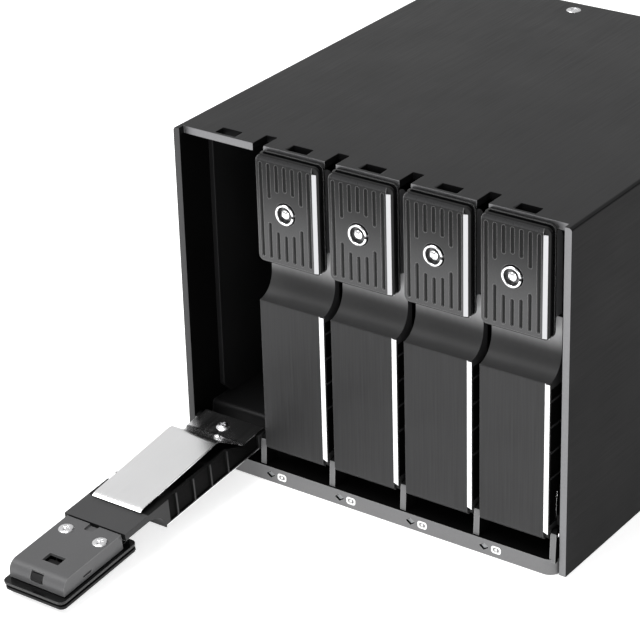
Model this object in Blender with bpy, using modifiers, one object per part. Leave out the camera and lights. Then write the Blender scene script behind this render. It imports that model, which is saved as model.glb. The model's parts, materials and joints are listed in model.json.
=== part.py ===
"""A five-bay hot-swap drive cage for three 5.25-inch bays.

Units are metres, +Z is up, +X runs along the row of bays and -Y is the front.
The origin is the centre of the sleeve's bottom face.
"""
import math

import bmesh
import bpy
from mathutils import Matrix, Vector

# ---------------------------------------------------------------- driving dimensions
SLEEVE_WIDTH = 0.146
SLEEVE_HEIGHT = 0.118
SLEEVE_DEPTH = 0.165
WALL = 0.0025
GAP = 0.0003                    # left between pieces that touch

BAY_COUNT = 5
BAY_PITCH = 0.0275
BAY_INDICES = range(BAY_COUNT)

FRONT = -SLEEVE_DEPTH / 2       # front edges of the side walls
REAR = SLEEVE_DEPTH / 2
INNER_X = SLEEVE_WIDTH / 2 - WALL
INNER_TOP = SLEEVE_HEIGHT - WALL

DRIVE_WIDTH = 0.0261            # a standard 3.5-inch drive, standing on edge
DRIVE_FLOOR_TOP = 0.0160
DRIVE_FLOOR_FRONT = FRONT + 0.0095

SILL_HEIGHT = 0.0055
SILL_FRONT = FRONT - 0.002

HINGE_Y = FRONT + 0.0015
HINGE_Z = 0.0135
ROD_RADIUS = 0.0010
ROD_HOLE_RADIUS = 0.0013
BARREL_RADIUS = 0.0022
LUG_WIDTH = 0.0021
LUG_CLEARANCE = 0.0005

DOOR_HALF_WIDTH = 0.0123
DOOR_OPEN_ANGLE = math.radians(95)
OPEN_DOOR = 0                   # the first bay's door stands open

HEAD_BOTTOM = 0.0668            # heights from here on are above the hinge axis
HEAD_TOP = 0.1034
HEAD_MIDDLE = (HEAD_BOTTOM + HEAD_TOP) / 2
HEAD_HALF_WIDTH = 0.0120
LOCK_X = -0.0009                # the lock sits a little left of the middle of the head
LOCK_RADIUS = 0.0035
LOCK_HOLE_RADIUS = 0.0038

PANEL_Y = REAR - 0.0015         # inner face of the rear panel
BOARD_Y = REAR - 0.0048         # front face of the backplane board
BOARD_THICKNESS = 0.0016
FAN_SIZE = 0.080
FAN_DEPTH = 0.025
FAN_Z = 0.060
FAN_Y = REAR + GAP              # front face of the fan frame
FAN_BORE_RADIUS = 0.0382
BLADE_COUNT = 7

CUT = "DIFFERENCE"
JOIN = "UNION"
KEEP = "INTERSECT"
PAST = 0.001                    # how far a cutter runs past the face that it opens

# ---------------------------------------------------------------- scene and materials


def clear_scene():
    for item in list(bpy.data.objects):
        bpy.data.objects.remove(item, do_unlink=True)


def new_collection(name):
    collection = bpy.data.collections.new(name)
    bpy.context.scene.collection.children.link(collection)
    return collection


def new_material(name, colour, roughness, metallic):
    material = bpy.data.materials.new(name)
    material.use_nodes = True
    shader = material.node_tree.nodes["Principled BSDF"]
    shader.inputs["Base Color"].default_value = (*colour, 1.0)
    shader.inputs["Roughness"].default_value = roughness
    shader.inputs["Metallic"].default_value = metallic
    return material


clear_scene()
PARTS = new_collection("drive_cage")
CUTTERS = new_collection("cutters")

BRUSHED_BLACK = new_material("brushed_black", (0.035, 0.035, 0.038), 0.42, 0.85)
BLACK_STEEL = new_material("black_steel", (0.02, 0.02, 0.022), 0.45, 0.6)
BLACK_PLASTIC = new_material("black_plastic", (0.015, 0.015, 0.016), 0.4, 0.0)
GREY_PLASTIC = new_material("grey_plastic", (0.14, 0.14, 0.145), 0.5, 0.1)
BRIGHT_STEEL = new_material("bright_steel", (0.75, 0.75, 0.76), 0.25, 1.0)
CHROME = new_material("chrome", (0.85, 0.85, 0.86), 0.08, 1.0)
CLEAR_PLASTIC = new_material("clear_plastic", (0.55, 0.58, 0.6), 0.2, 0.0)
BOARD_GREEN = new_material("board_green", (0.015, 0.09, 0.04), 0.45, 0.0)

# ---------------------------------------------------------------- shape helpers


def add_box(bm, low, high):
    low, high = Vector(low), Vector(high)
    matrix = Matrix.Translation((low + high) / 2) @ Matrix.Diagonal((*(high - low), 1.0))
    bmesh.ops.create_cube(bm, size=1.0, matrix=matrix)


def add_cylinder(bm, start, end, radius, segments=24):
    start, end = Vector(start), Vector(end)
    turn = (end - start).to_track_quat("Z", "Y").to_matrix().to_4x4()
    bmesh.ops.create_cone(bm, cap_ends=True, segments=segments, radius1=radius, radius2=radius,
                          depth=(end - start).length, matrix=Matrix.Translation((start + end) / 2) @ turn)


def new_object(name, mesh, collection):
    item = bpy.data.objects.new(name, mesh)
    collection.objects.link(item)
    return item


def solid(name, bm, material=None, collection=None):
    """Turn a bmesh into an object and free the bmesh."""
    mesh = bpy.data.meshes.new(name)
    bm.to_mesh(mesh)
    bm.free()
    if material:
        mesh.materials.append(material)
    return new_object(name, mesh, collection or PARTS)


def boolean(target, operation, tool):
    """Cut the tool out of the target, or join it on. The tool becomes a hidden cutter."""
    for owner in list(tool.users_collection):
        owner.objects.unlink(tool)
    CUTTERS.objects.link(tool)
    tool.hide_render = True
    tool.display_type = "WIRE"
    modifier = target.modifiers.new(operation.title(), "BOOLEAN")
    modifier.operation = operation
    modifier.solver = "EXACT"
    modifier.object = tool


def boxes(target, operation, corner_pairs):
    """Cut or join boxes that don't touch one another."""
    bm = bmesh.new()
    for low, high in corner_pairs:
        add_box(bm, low, high)
    boolean(target, operation, solid(target.name + "_tool", bm))


def cylinders(target, operation, rods, segments=24):
    """Cut or join cylinders, each given as start, end and radius."""
    bm = bmesh.new()
    for start, end, radius in rods:
        add_cylinder(bm, start, end, radius, segments)
    boolean(target, operation, solid(target.name + "_tool", bm))


PLANES = {
    "YZ": Matrix(((0, 0, 1, 0), (1, 0, 0, 0), (0, 1, 0, 0), (0, 0, 0, 1))),
    "XZ": Matrix(((1, 0, 0, 0), (0, 0, -1, 0), (0, 1, 0, 0), (0, 0, 0, 1))),
    "XY": Matrix.Identity(4),
}


def extruded(name, outline, plane, low, high, material=None):
    """Extrude a flat outline in the given plane from low to high along the plane's normal."""
    curve = bpy.data.curves.new(name, "CURVE")
    curve.dimensions = "2D"
    curve.fill_mode = "BOTH"
    curve.extrude = (high - low) / 2
    spline = curve.splines.new("POLY")
    spline.points.add(len(outline) - 1)
    for point, (u, v) in zip(spline.points, outline):
        point.co = (u, v, 0.0, 1.0)
    spline.use_cyclic_u = True
    guide = new_object(name, curve, PARTS)
    middle = (high + low) / 2
    shift = {"YZ": (middle, 0, 0), "XZ": (0, middle, 0), "XY": (0, 0, middle)}[plane]
    guide.matrix_world = Matrix.Translation(shift) @ PLANES[plane]
    bpy.context.view_layer.update()
    graph = bpy.context.evaluated_depsgraph_get()
    mesh = bpy.data.meshes.new_from_object(guide.evaluated_get(graph))
    mesh.transform(guide.matrix_world)
    bpy.data.objects.remove(guide)
    bpy.data.curves.remove(curve)
    bm = bmesh.new()
    bm.from_mesh(mesh)
    bmesh.ops.remove_doubles(bm, verts=bm.verts, dist=0.00001)
    bmesh.ops.recalc_face_normals(bm, faces=bm.faces)
    bm.to_mesh(mesh)
    bm.free()
    mesh.materials.clear()
    if material:
        mesh.materials.append(material)
    return new_object(name, mesh, PARTS)


def arc(centre_u, centre_v, radius_u, radius_v, start, end, steps):
    """Points along an ellipse's arc, from the start angle to the end angle in degrees."""
    points = []
    for step in range(steps + 1):
        angle = math.radians(start + (end - start) * step / steps)
        points.append((centre_u + radius_u * math.cos(angle), centre_v + radius_v * math.sin(angle)))
    return points


def rounded_rectangle(low_u, low_v, high_u, high_v, radius, steps=4):
    corners = ((high_u - radius, low_v + radius, -90), (high_u - radius, high_v - radius, 0),
               (low_u + radius, high_v - radius, 90), (low_u + radius, low_v + radius, 180))
    outline = []
    for centre_u, centre_v, start in corners:
        outline += arc(centre_u, centre_v, radius, radius, start, start + 90, steps)
    return outline


def baked_mesh(item):
    """The object's mesh with its modifiers applied; the object itself is removed."""
    bpy.context.view_layer.update()
    graph = bpy.context.evaluated_depsgraph_get()
    mesh = bpy.data.meshes.new_from_object(item.evaluated_get(graph))
    mesh.name = item.name
    bpy.data.objects.remove(item)
    return mesh


def smooth_round_faces():
    for item in PARTS.objects:
        if item.type == "MESH":
            item.data.shade_smooth()
            item.data.set_sharp_from_angle(angle=math.radians(35))


def bay_x(index):
    return (index - (BAY_COUNT - 1) / 2) * BAY_PITCH


def boundary_x(index):
    """The plane between bay index and the next one."""
    return bay_x(index) + BAY_PITCH / 2


# ---------------------------------------------------------------- sleeve and floor

TOP_EDGE_SETBACK = 0.0024       # the top panel's front edge stands behind the side walls' edges
NOTCH_WIDTH = 0.004
NOTCH_DEPTH = 0.010
SLOT_HALF_WIDTH = 0.00375
SLOT_START = 0.0036
SLOT_END = 0.0078
MOUNT_HOLE_RADIUS = 0.0013
MOUNT_HOLE_DEPTHS = (0.052, 0.1312)
MOUNT_HOLE_HEIGHTS = (0.0187, 0.0593, 0.0999)
TOP_SCREW_PLACE = (-0.0190, FRONT + 0.158)
EDGE_RADIUS = 0.001


def make_sleeve():
    side, top = SLEEVE_WIDTH / 2, SLEEVE_HEIGHT
    outline = [(-INNER_X, 0.0), (-INNER_X, INNER_TOP), (INNER_X, INNER_TOP), (INNER_X, 0.0), (side, 0.0)]
    outline += arc(side - EDGE_RADIUS, top - EDGE_RADIUS, EDGE_RADIUS, EDGE_RADIUS, 0, 90, 3)
    outline += arc(EDGE_RADIUS - side, top - EDGE_RADIUS, EDGE_RADIUS, EDGE_RADIUS, 90, 180, 3)
    outline += [(-side, 0.0)]
    sleeve = extruded("sleeve", outline, "XZ", FRONT, REAR, BRUSHED_BLACK)
    low, high = INNER_TOP - 0.001, SLEEVE_HEIGHT + 0.001
    cuts = [((-INNER_X, FRONT - 0.001, low), (INNER_X, FRONT + TOP_EDGE_SETBACK, high))]
    boxes(sleeve, CUT, cuts)
    notches = [((boundary_x(i) - NOTCH_WIDTH / 2, FRONT + 0.002, low),
                (boundary_x(i) + NOTCH_WIDTH / 2, FRONT + NOTCH_DEPTH, high)) for i in range(4)]
    boxes(sleeve, CUT, notches)
    slots = [((bay_x(i) - SLOT_HALF_WIDTH, FRONT + SLOT_START, low),
              (bay_x(i) + SLOT_HALF_WIDTH, FRONT + SLOT_END, high)) for i in BAY_INDICES]
    boxes(sleeve, CUT, slots)
    holes = [((sign * (side + 0.001), FRONT + depth, z), (sign * (INNER_X - 0.001), FRONT + depth, z),
              MOUNT_HOLE_RADIUS)
             for sign in (-1, 1) for depth in MOUNT_HOLE_DEPTHS for z in MOUNT_HOLE_HEIGHTS]
    holes.append(((*TOP_SCREW_PLACE, low), (*TOP_SCREW_PLACE, high), MOUNT_HOLE_RADIUS))
    cylinders(sleeve, CUT, holes, 12)


def make_bottom_plate():
    bm = bmesh.new()
    add_box(bm, (GAP - INNER_X, FRONT + 0.0113, 0.0), (INNER_X - GAP, REAR - 0.0018, 0.0012))
    solid("bottom_plate", bm, BLACK_STEEL)


def make_drive_floor():
    """The plate that the drives stand on, folded down at the front into a stepped lip."""
    front, top, back = DRIVE_FLOOR_FRONT, DRIVE_FLOOR_TOP, BOARD_Y - GAP
    sheet, ledge, lip_bottom = 0.0014, 0.0010, 0.0065
    step = top - 0.0048
    outline = [(front, top), (front, step), (front - ledge, step), (front - ledge, lip_bottom),
               (front - ledge + sheet, lip_bottom), (front - ledge + sheet, step - sheet),
               (front + sheet, step - sheet), (front + sheet, top - sheet), (back, top - sheet), (back, top)]
    extruded("drive_floor", outline, "YZ", GAP - INNER_X, INNER_X - GAP, BLACK_STEEL)


# ---------------------------------------------------------------- sill, light pipes and hinge rod

SILL_BACK = FRONT + 0.011
SILL_CORNER_RADIUS = 0.004
CHANNEL_FRONT = FRONT + 0.001   # the light pipe lies in a channel under the sill
CHANNEL_BACK = FRONT + 0.0065
CHANNEL_ROOF = 0.0038
CHANNEL_HALF_LENGTH = 0.0685
DIAMOND_OFFSET = -0.0104        # from the middle of the bay
DIAMOND_HALF_WIDTH = 0.0018
DIAMOND_HALF_HEIGHT = 0.0013
SILL_HALF_WIDTH = INNER_X - GAP


def lug_outline():
    """A finger that stands on the sill and ends round about the hinge axis."""
    tip = arc(HINGE_Y, HINGE_Z, BARREL_RADIUS, BARREL_RADIUS, 180, 0, 8)
    foot = SILL_HEIGHT - 0.001
    return [(FRONT + 0.0052, foot), (FRONT - 0.0012, foot)] + tip


def lug_positions():
    half = LUG_WIDTH / 2
    outer = bay_x(4) + DOOR_HALF_WIDTH + LUG_CLEARANCE + half
    return [-outer] + [boundary_x(i) for i in range(4)] + [outer]


def diamond(x, half_width, half_height, z=SILL_HEIGHT / 2):
    return [(x - half_width, z), (x, z - half_height), (x + half_width, z), (x, z + half_height)]


def make_sill():
    width, back = SILL_HALF_WIDTH, SILL_BACK
    outline = [(width, back), (-width, back)]
    outline += arc(SILL_CORNER_RADIUS - width, SILL_FRONT + SILL_CORNER_RADIUS,
                   SILL_CORNER_RADIUS, SILL_CORNER_RADIUS, 180, 270, 5)
    outline += arc(width - SILL_CORNER_RADIUS, SILL_FRONT + SILL_CORNER_RADIUS,
                   SILL_CORNER_RADIUS, SILL_CORNER_RADIUS, 270, 360, 5)
    sill = extruded("front_sill", outline, "XY", 0.0, SILL_HEIGHT, GREY_PLASTIC)
    boxes(sill, CUT, [((-CHANNEL_HALF_LENGTH, CHANNEL_FRONT, -0.001),
                       (CHANNEL_HALF_LENGTH, CHANNEL_BACK, CHANNEL_ROOF))])
    for x in lug_positions():
        lug = extruded("sill_lug", lug_outline(), "YZ", x - LUG_WIDTH / 2, x + LUG_WIDTH / 2)
        boolean(sill, JOIN, lug)
    for index in BAY_INDICES:
        shape = diamond(bay_x(index) + DIAMOND_OFFSET, DIAMOND_HALF_WIDTH, DIAMOND_HALF_HEIGHT)
        boolean(sill, CUT, extruded("sill_window", shape, "XZ", SILL_FRONT - 0.001, CHANNEL_FRONT + 0.001))
    cylinders(sill, CUT, [((-0.1, HINGE_Y, HINGE_Z), (0.1, HINGE_Y, HINGE_Z), ROD_HOLE_RADIUS)], 16)


def make_light_pipe():
    half = CHANNEL_HALF_LENGTH - 0.0005
    bm = bmesh.new()
    add_box(bm, (-half, CHANNEL_FRONT + GAP, 0.0006), (half, CHANNEL_BACK - GAP, CHANNEL_ROOF - GAP))
    strip = solid("light_pipe", bm, CLEAR_PLASTIC)
    for index in BAY_INDICES:
        shape = diamond(bay_x(index) + DIAMOND_OFFSET, DIAMOND_HALF_WIDTH - 0.0004,
                        DIAMOND_HALF_HEIGHT - 0.0003)
        boolean(strip, JOIN, extruded("pipe_tip", shape, "XZ", SILL_FRONT + 0.0006, CHANNEL_FRONT + 0.001))


def make_hinge_rod():
    bm = bmesh.new()
    half = INNER_X - 0.0005
    add_cylinder(bm, (-half, HINGE_Y, HINGE_Z), (half, HINGE_Y, HINGE_Z), ROD_RADIUS, 16)
    solid("hinge_rod", bm, BRIGHT_STEEL)


# ---------------------------------------------------------------- bay dividers and guides

DIVIDER_THICKNESS = 0.001
DIVIDER_FRONT = FRONT + 0.014
DIVIDER_REAR = FRONT + 0.153
DIVIDER_LOW = DRIVE_FLOOR_TOP + GAP
DIVIDER_HIGH = INNER_TOP - GAP


def make_divider(name, low_x, high_x):
    """A plain sheet whose two front corners are cut away, to lead the drive in."""
    lead = 0.004
    outline = [(DIVIDER_REAR, DIVIDER_LOW), (DIVIDER_REAR, DIVIDER_HIGH),
               (DIVIDER_FRONT + lead, DIVIDER_HIGH), (DIVIDER_FRONT, DIVIDER_HIGH - lead),
               (DIVIDER_FRONT, DIVIDER_LOW + lead), (DIVIDER_FRONT + lead, DIVIDER_LOW)]
    extruded(name, outline, "YZ", low_x, high_x, BLACK_STEEL)


def make_dividers():
    half = DIVIDER_THICKNESS / 2
    for index in range(BAY_COUNT - 1):
        make_divider(f"bay_divider_{index + 1}", boundary_x(index) - half, boundary_x(index) + half)
    inner_edge = bay_x(4) + DRIVE_WIDTH / 2 + GAP
    make_divider("side_guide_left", GAP - INNER_X, -inner_edge)
    make_divider("side_guide_right", inner_edge, INNER_X - GAP)


# ---------------------------------------------------------------- doors, in the door's own frame

SKIN_Y = -0.0032
SKIN_THICKNESS = 0.0012
PANEL_TOP = 0.0529
NECK_HEIGHT = 0.0080            # the height over which the front curves back into the neck
NECK_FRONT = 0.0038
DOOR_BACK = 0.0062
HEEL_BACK = 0.0026              # the door is thinner near its hinge, under the spring's base
HEEL_TOP = 0.0110
HEEL_RADIUS = 0.0024
CHANNEL_INNER_X = 0.0106        # inner faces of the door's two side walls
SIDE_POCKET_X = 0.0117          # bottom of the pockets in their outer faces
FLANGE_FRONT = -0.0006
FLANGE_BACK = 0.0002
PLATE_BACK = -0.0016
CORNER_RADIUS = 0.002
RIB_PITCH = 0.0089
RIB_FIRST = 0.0197
RIB_WIDTH = 0.0008
RIB_COUNT = 4
POST_PLACES = ((-0.0075, HEAD_BOTTOM + 0.0088), (0.0075, HEAD_TOP - 0.0080))
POST_RADIUS = 0.0015
COVER_HALF_WIDTH = 0.0109
COVER_BOTTOM = HEAD_BOTTOM + 0.0057
COVER_TOP = HEAD_TOP - 0.0026
COVER_BACK = 0.0058
COVER_WALL = 0.0010
COVER_RADIUS = 0.0035
WEB_HALF_WIDTH = 0.0090
BOLT_HALF_WIDTH = 0.0022
BOLT_BOTTOM = HEAD_MIDDLE + 0.0062
BOLT_TOP = COVER_TOP + 0.0002
BOLT_FRONT = 0.0023
BOLT_BACK = 0.0043
MOUTH_DEPTH = 0.0040            # the bolt's way out through the far end of the cover
COVER_CAP = 0.0022              # solid end of the cover around that way out
WINDOW_LOW = (-0.0026, COVER_BOTTOM + 0.0180)
WINDOW_HIGH = (0.0038, COVER_BOTTOM + 0.0220)


def make_door_shell():
    """Channel, curved neck and flange in one moulding; y and z are measured from the hinge axis."""
    web_front, web_bottom = FLANGE_FRONT + GAP, HEAD_BOTTOM + GAP
    outline = arc(SKIN_Y, PANEL_TOP + NECK_HEIGHT, NECK_FRONT - SKIN_Y, NECK_HEIGHT, -90, 0, 6)
    outline += [(NECK_FRONT, COVER_BOTTOM - GAP), (DOOR_BACK, COVER_BOTTOM - GAP),
                (DOOR_BACK, HEEL_TOP + 0.0085), (HEEL_BACK, HEEL_TOP), (HEEL_BACK, -0.0012)]
    outline += arc(0.0, 0.0, -SKIN_Y, HEEL_RADIUS, -90, -180, 5)
    door = extruded("door", outline, "YZ", -DOOR_HALF_WIDTH, DOOR_HALF_WIDTH, BLACK_PLASTIC)
    width = HEAD_HALF_WIDTH + 0.0002
    shape = rounded_rectangle(-width, HEAD_BOTTOM + 0.0001, width, HEAD_TOP - 0.0001, CORNER_RADIUS)
    boolean(door, JOIN, extruded("flange", shape, "XZ", FLANGE_FRONT, FLANGE_BACK))
    boxes(door, JOIN, [((-WEB_HALF_WIDTH, web_front, web_bottom),
                        (WEB_HALF_WIDTH, NECK_FRONT + 0.001, COVER_BOTTOM - GAP - 0.0002))])
    boxes(door, CUT, channel_hollows())
    boxes(door, CUT, side_pockets())
    holes = [(LOCK_X, HEAD_MIDDLE, LOCK_HOLE_RADIUS)]
    holes += [(x, z, POST_RADIUS + GAP) for x, z in POST_PLACES]
    cylinders(door, CUT, [((x, -0.001, z), (x, 0.007, z), radius) for x, z, radius in holes], 20)
    cylinders(door, CUT, [((-0.02, 0, 0), (0.02, 0, 0), ROD_HOLE_RADIUS)], 16)
    return door


def channel_hollows():
    """The two hollows of the channel, with a cross rib between them."""
    floor, rib = SKIN_Y + SKIN_THICKNESS, RIB_FIRST + RIB_PITCH
    return [((-CHANNEL_INNER_X, floor, low), (CHANNEL_INNER_X, DOOR_BACK + 0.001, high))
            for low, high in ((0.0050, rib - RIB_WIDTH), (rib + RIB_WIDTH, PANEL_TOP - 0.0020))]


def side_pockets():
    """Shallow pockets in both sides of the channel, which leave the side ribs between them."""
    edges = [0.003] + [RIB_FIRST + i * RIB_PITCH for i in range(RIB_COUNT)] + [PANEL_TOP - 0.002]
    pairs = []
    for sign in (-1, 1):
        inner, outer = sorted((sign * SIDE_POCKET_X, sign * (DOOR_HALF_WIDTH + 0.001)))
        for low, high in zip(edges, edges[1:]):
            pairs.append(((inner, SKIN_Y + SKIN_THICKNESS, low + RIB_WIDTH / 2),
                          (outer, DOOR_BACK + 0.001, high - RIB_WIDTH / 2)))
    return pairs


SPRING_SHEET = 0.0005
SPRING_BASE_HALF_WIDTH = 0.0118
BLADE_HALF_WIDTH = 0.0098
CREST_Y = 0.0092
CREST_Z = 0.0205
BLADE_TIP_Z = 0.0600


def spring_outline():
    """The folded strip seen from the side: flat base, ramp up to the crest, long blade, curled tip."""
    base, tip, sheet = HEEL_BACK + GAP, DOOR_BACK + 0.0010, SPRING_SHEET
    inner = [(base, -0.0010), (base, HEEL_TOP - 0.0002), (CREST_Y, CREST_Z), (tip, BLADE_TIP_Z),
             (DOOR_BACK + GAP, BLADE_TIP_Z + 0.0012)]
    outer = [(DOOR_BACK + GAP + sheet, BLADE_TIP_Z + 0.0016), (tip + sheet, BLADE_TIP_Z + 0.0006),
             (CREST_Y + sheet, CREST_Z - 0.0002), (base + sheet, HEEL_TOP - 0.0006), (base + sheet, -0.0010)]
    return inner + outer


def make_spring():
    """The strip, cut down to the blade's width from its base on."""
    base, blade = SPRING_BASE_HALF_WIDTH, BLADE_HALF_WIDTH
    outline = [(-base, -0.0020), (base, -0.0020), (base, HEEL_TOP - 0.0005), (blade, CREST_Z - 0.004),
               (blade, 0.07), (-blade, 0.07), (-blade, CREST_Z - 0.004), (-base, HEEL_TOP - 0.0005)]
    spring = extruded("spring", spring_outline(), "YZ", -base, base, BRIGHT_STEEL)
    boolean(spring, KEEP, extruded("spring_blank", outline, "XZ", 0.0, 0.02))
    cylinders(spring, CUT, [((0, 0.0, 0.0053), (0, 0.006, 0.0053), 0.0014)], 12)
    return spring


def make_latch_cover():
    """The box behind the head, open towards the flange, with its far back edge rounded."""
    front, inner_x = FLANGE_BACK + GAP, COVER_HALF_WIDTH - COVER_WALL
    far, back = COVER_TOP, COVER_BACK
    outline = [(front, COVER_BOTTOM), (back, COVER_BOTTOM)]
    outline += arc(back - COVER_RADIUS, far - COVER_RADIUS, COVER_RADIUS, COVER_RADIUS, 0, 90, 5)
    outline += [(front, far)]
    cover = extruded("latch_cover", outline, "YZ", -COVER_HALF_WIDTH, COVER_HALF_WIDTH, BLACK_PLASTIC)
    hollow = ((-inner_x, front - PAST, COVER_BOTTOM + COVER_WALL),
              (inner_x, back - COVER_WALL, far - COVER_CAP))
    boxes(cover, CUT, [hollow])
    bolt_x = BOLT_HALF_WIDTH + GAP
    mouth = ((-bolt_x, BOLT_FRONT - GAP, far - MOUTH_DEPTH), (bolt_x, BOLT_BACK + GAP, far + PAST))
    boxes(cover, CUT, [mouth])
    (left, low), (right, high) = WINDOW_LOW, WINDOW_HIGH
    boxes(cover, CUT, [((left, back - 2 * COVER_WALL, low), (right, back + PAST, high))])
    return cover


GROOVE_PITCH = 0.00304
GROOVE_HALF_WIDTH = 0.0006
GROOVE_DEPTH = 0.0004
GROOVE_MARGIN = 0.0022
LOCK_CLEAR_RADIUS = 0.0073      # the grooves stop short of the lock by this much


def groove_boxes():
    """Seven upright grooves in the latch plate; the middle five stop short of the lock."""
    low, high = HEAD_BOTTOM + GROOVE_MARGIN, HEAD_TOP - GROOVE_MARGIN
    pairs = []
    for column in range(-3, 4):
        offset = column * GROOVE_PITCH
        x = LOCK_X + offset
        spans = [(low, high)]
        if abs(offset) < LOCK_CLEAR_RADIUS:
            reach = math.sqrt(LOCK_CLEAR_RADIUS ** 2 - offset ** 2)
            spans = [(low, HEAD_MIDDLE - reach), (HEAD_MIDDLE + reach, high)]
        for start, end in spans:
            pairs.append(((x - GROOVE_HALF_WIDTH, SKIN_Y - 0.001, start),
                          (x + GROOVE_HALF_WIDTH, SKIN_Y + GROOVE_DEPTH, end)))
    return pairs


def make_latch_plate():
    shape = rounded_rectangle(-HEAD_HALF_WIDTH, HEAD_BOTTOM, HEAD_HALF_WIDTH, HEAD_TOP, CORNER_RADIUS)
    plate = extruded("latch_plate", shape, "XZ", SKIN_Y, PLATE_BACK, BRUSHED_BLACK)
    posts = [((x, PLATE_BACK - 0.0005, z), (x, FLANGE_BACK + 0.0015, z), POST_RADIUS)
             for x, z in POST_PLACES]
    cylinders(plate, JOIN, posts, 12)
    boxes(plate, CUT, groove_boxes())
    bore = ((LOCK_X, SKIN_Y - 0.01, HEAD_MIDDLE), (LOCK_X, 0.01, HEAD_MIDDLE), LOCK_HOLE_RADIUS)
    cylinders(plate, CUT, [bore])
    return plate


LOCK_FACE = SKIN_Y - 0.0008     # the lock stands a little proud of the latch plate
CAM_HALF_HEIGHT = 0.0024
CAM_REACH = 0.0070
CAM_HEEL = 0.0030
CAM_THICKNESS = 0.0012
KEYWAY_RADIUS = 0.0026
KEYWAY_DEPTH = 0.0015
PIN_RADIUS = 0.0014


def make_lock():
    """The tubular cylinder with its cam; z is measured from its own axis."""
    bm = bmesh.new()
    add_cylinder(bm, (0, LOCK_FACE, 0), (0, BOLT_FRONT + 0.0001, 0), LOCK_RADIUS, 24)
    lock = solid("lock", bm, CHROME)
    cam_back = BOLT_FRONT + CAM_THICKNESS
    boxes(lock, JOIN, [((-CAM_REACH, BOLT_FRONT, -CAM_HALF_HEIGHT), (CAM_HEEL, cam_back, CAM_HALF_HEIGHT))])
    keyway_floor = LOCK_FACE + KEYWAY_DEPTH
    cylinders(lock, CUT, [((0, LOCK_FACE - PAST, 0), (0, keyway_floor, 0), KEYWAY_RADIUS)], 20)
    cylinders(lock, JOIN, [((0, LOCK_FACE + 0.0005, 0), (0, keyway_floor + PAST, 0), PIN_RADIUS)], 12)
    return lock


def make_bolt():
    bm = bmesh.new()
    add_box(bm, (-BOLT_HALF_WIDTH, BOLT_FRONT, BOLT_BOTTOM), (BOLT_HALF_WIDTH, BOLT_BACK, BOLT_TOP))
    return solid("bolt", bm, BLACK_STEEL)


def make_doors():
    """Five copies of the door set, each hung from an empty on the hinge axis."""
    at_lock = (LOCK_X, 0.0, HEAD_MIDDLE)
    at_hinge = (0.0, 0.0, 0.0)
    pieces = (("door", baked_mesh(make_door_shell()), at_hinge),
              ("door_spring", baked_mesh(make_spring()), at_hinge),
              ("latch_cover", baked_mesh(make_latch_cover()), at_hinge),
              ("latch_plate", baked_mesh(make_latch_plate()), at_hinge),
              ("lock_cylinder", baked_mesh(make_lock()), at_lock),
              ("lock_bolt", baked_mesh(make_bolt()), at_hinge))
    for index in BAY_INDICES:
        hinge = new_object(f"hinge_{index + 1}", None, PARTS)
        hinge.location = (bay_x(index), HINGE_Y, HINGE_Z)
        hinge.rotation_euler.x = DOOR_OPEN_ANGLE if index == OPEN_DOOR else 0.0
        for name, mesh, place in pieces:
            piece = new_object(f"{name}_{index + 1}", mesh, PARTS)
            piece.parent = hinge
            piece.location = place


# ---------------------------------------------------------------- backplane and rear

SOCKET_OFFSET = -0.008          # the drive's connector sits off the middle of its thickness
SOCKET_LOW = 0.024
SOCKET_HIGH = 0.066
SOCKET_HALF_WIDTH = 0.0035
SOCKET_DEPTH = 0.0055
BOARD_BACK = BOARD_Y + BOARD_THICKNESS
DATA_PORT_X = 0.056
DATA_PORT_HEIGHTS = [0.023 + 0.018 * i for i in range(BAY_COUNT)]
POWER_X = -0.056
POWER_HEIGHTS = (0.040, 0.080)
PORT_WALL = 0.0012
PORT_FLOOR = 0.002


def make_backplane():
    bm = bmesh.new()
    add_box(bm, (-0.0695, BOARD_Y, 0.002), (0.0695, BOARD_BACK, SLEEVE_HEIGHT - 0.004))
    board = solid("backplane_board", bm, BOARD_GREEN)
    low, high = BOARD_Y - 0.001, BOARD_BACK + 0.001
    vents = [((x - 0.005, low, 0.074), (x + 0.005, high, 0.100)) for x in map(bay_x, (1, 2, 3))]
    vents += [((x + 0.0025, low, 0.028), (x + 0.0085, high, 0.054)) for x in map(bay_x, (1, 2, 3))]
    boxes(board, CUT, vents)


def make_drive_sockets():
    """One blade connector for each bay, with the long tongue that the drive's plug slides over."""
    back = BOARD_Y - GAP
    front = back - SOCKET_DEPTH
    for index in BAY_INDICES:
        x = bay_x(index) + SOCKET_OFFSET
        bm = bmesh.new()
        add_box(bm, (x - SOCKET_HALF_WIDTH, front, SOCKET_LOW), (x + SOCKET_HALF_WIDTH, back, SOCKET_HIGH))
        socket = solid(f"drive_socket_{index + 1}", bm, BLACK_PLASTIC)
        inner = SOCKET_HALF_WIDTH - PORT_WALL
        boxes(socket, CUT, [((x - inner, front - 0.001, SOCKET_LOW + 0.003),
                             (x + inner, back - 0.0012, SOCKET_HIGH - 0.003))])
        boxes(socket, JOIN, [((x - 0.0006, front + 0.0005, SOCKET_LOW + 0.0045),
                              (x + 0.0006, back - 0.0008, SOCKET_HIGH - 0.0045))])


def make_port(name, x, z, half_width, half_height, depth):
    """A socket on the back of the board: a shell with a deep recess that opens to the rear."""
    front = BOARD_BACK + GAP
    bm = bmesh.new()
    add_box(bm, (x - half_width, front, z - half_height), (x + half_width, front + depth, z + half_height))
    port = solid(name, bm, BLACK_PLASTIC)
    width, height = half_width - PORT_WALL, half_height - PORT_WALL
    recess = ((x - width, front + PORT_FLOOR, z - height), (x + width, front + depth + PAST, z + height))
    boxes(port, CUT, [recess])
    return port


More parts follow.
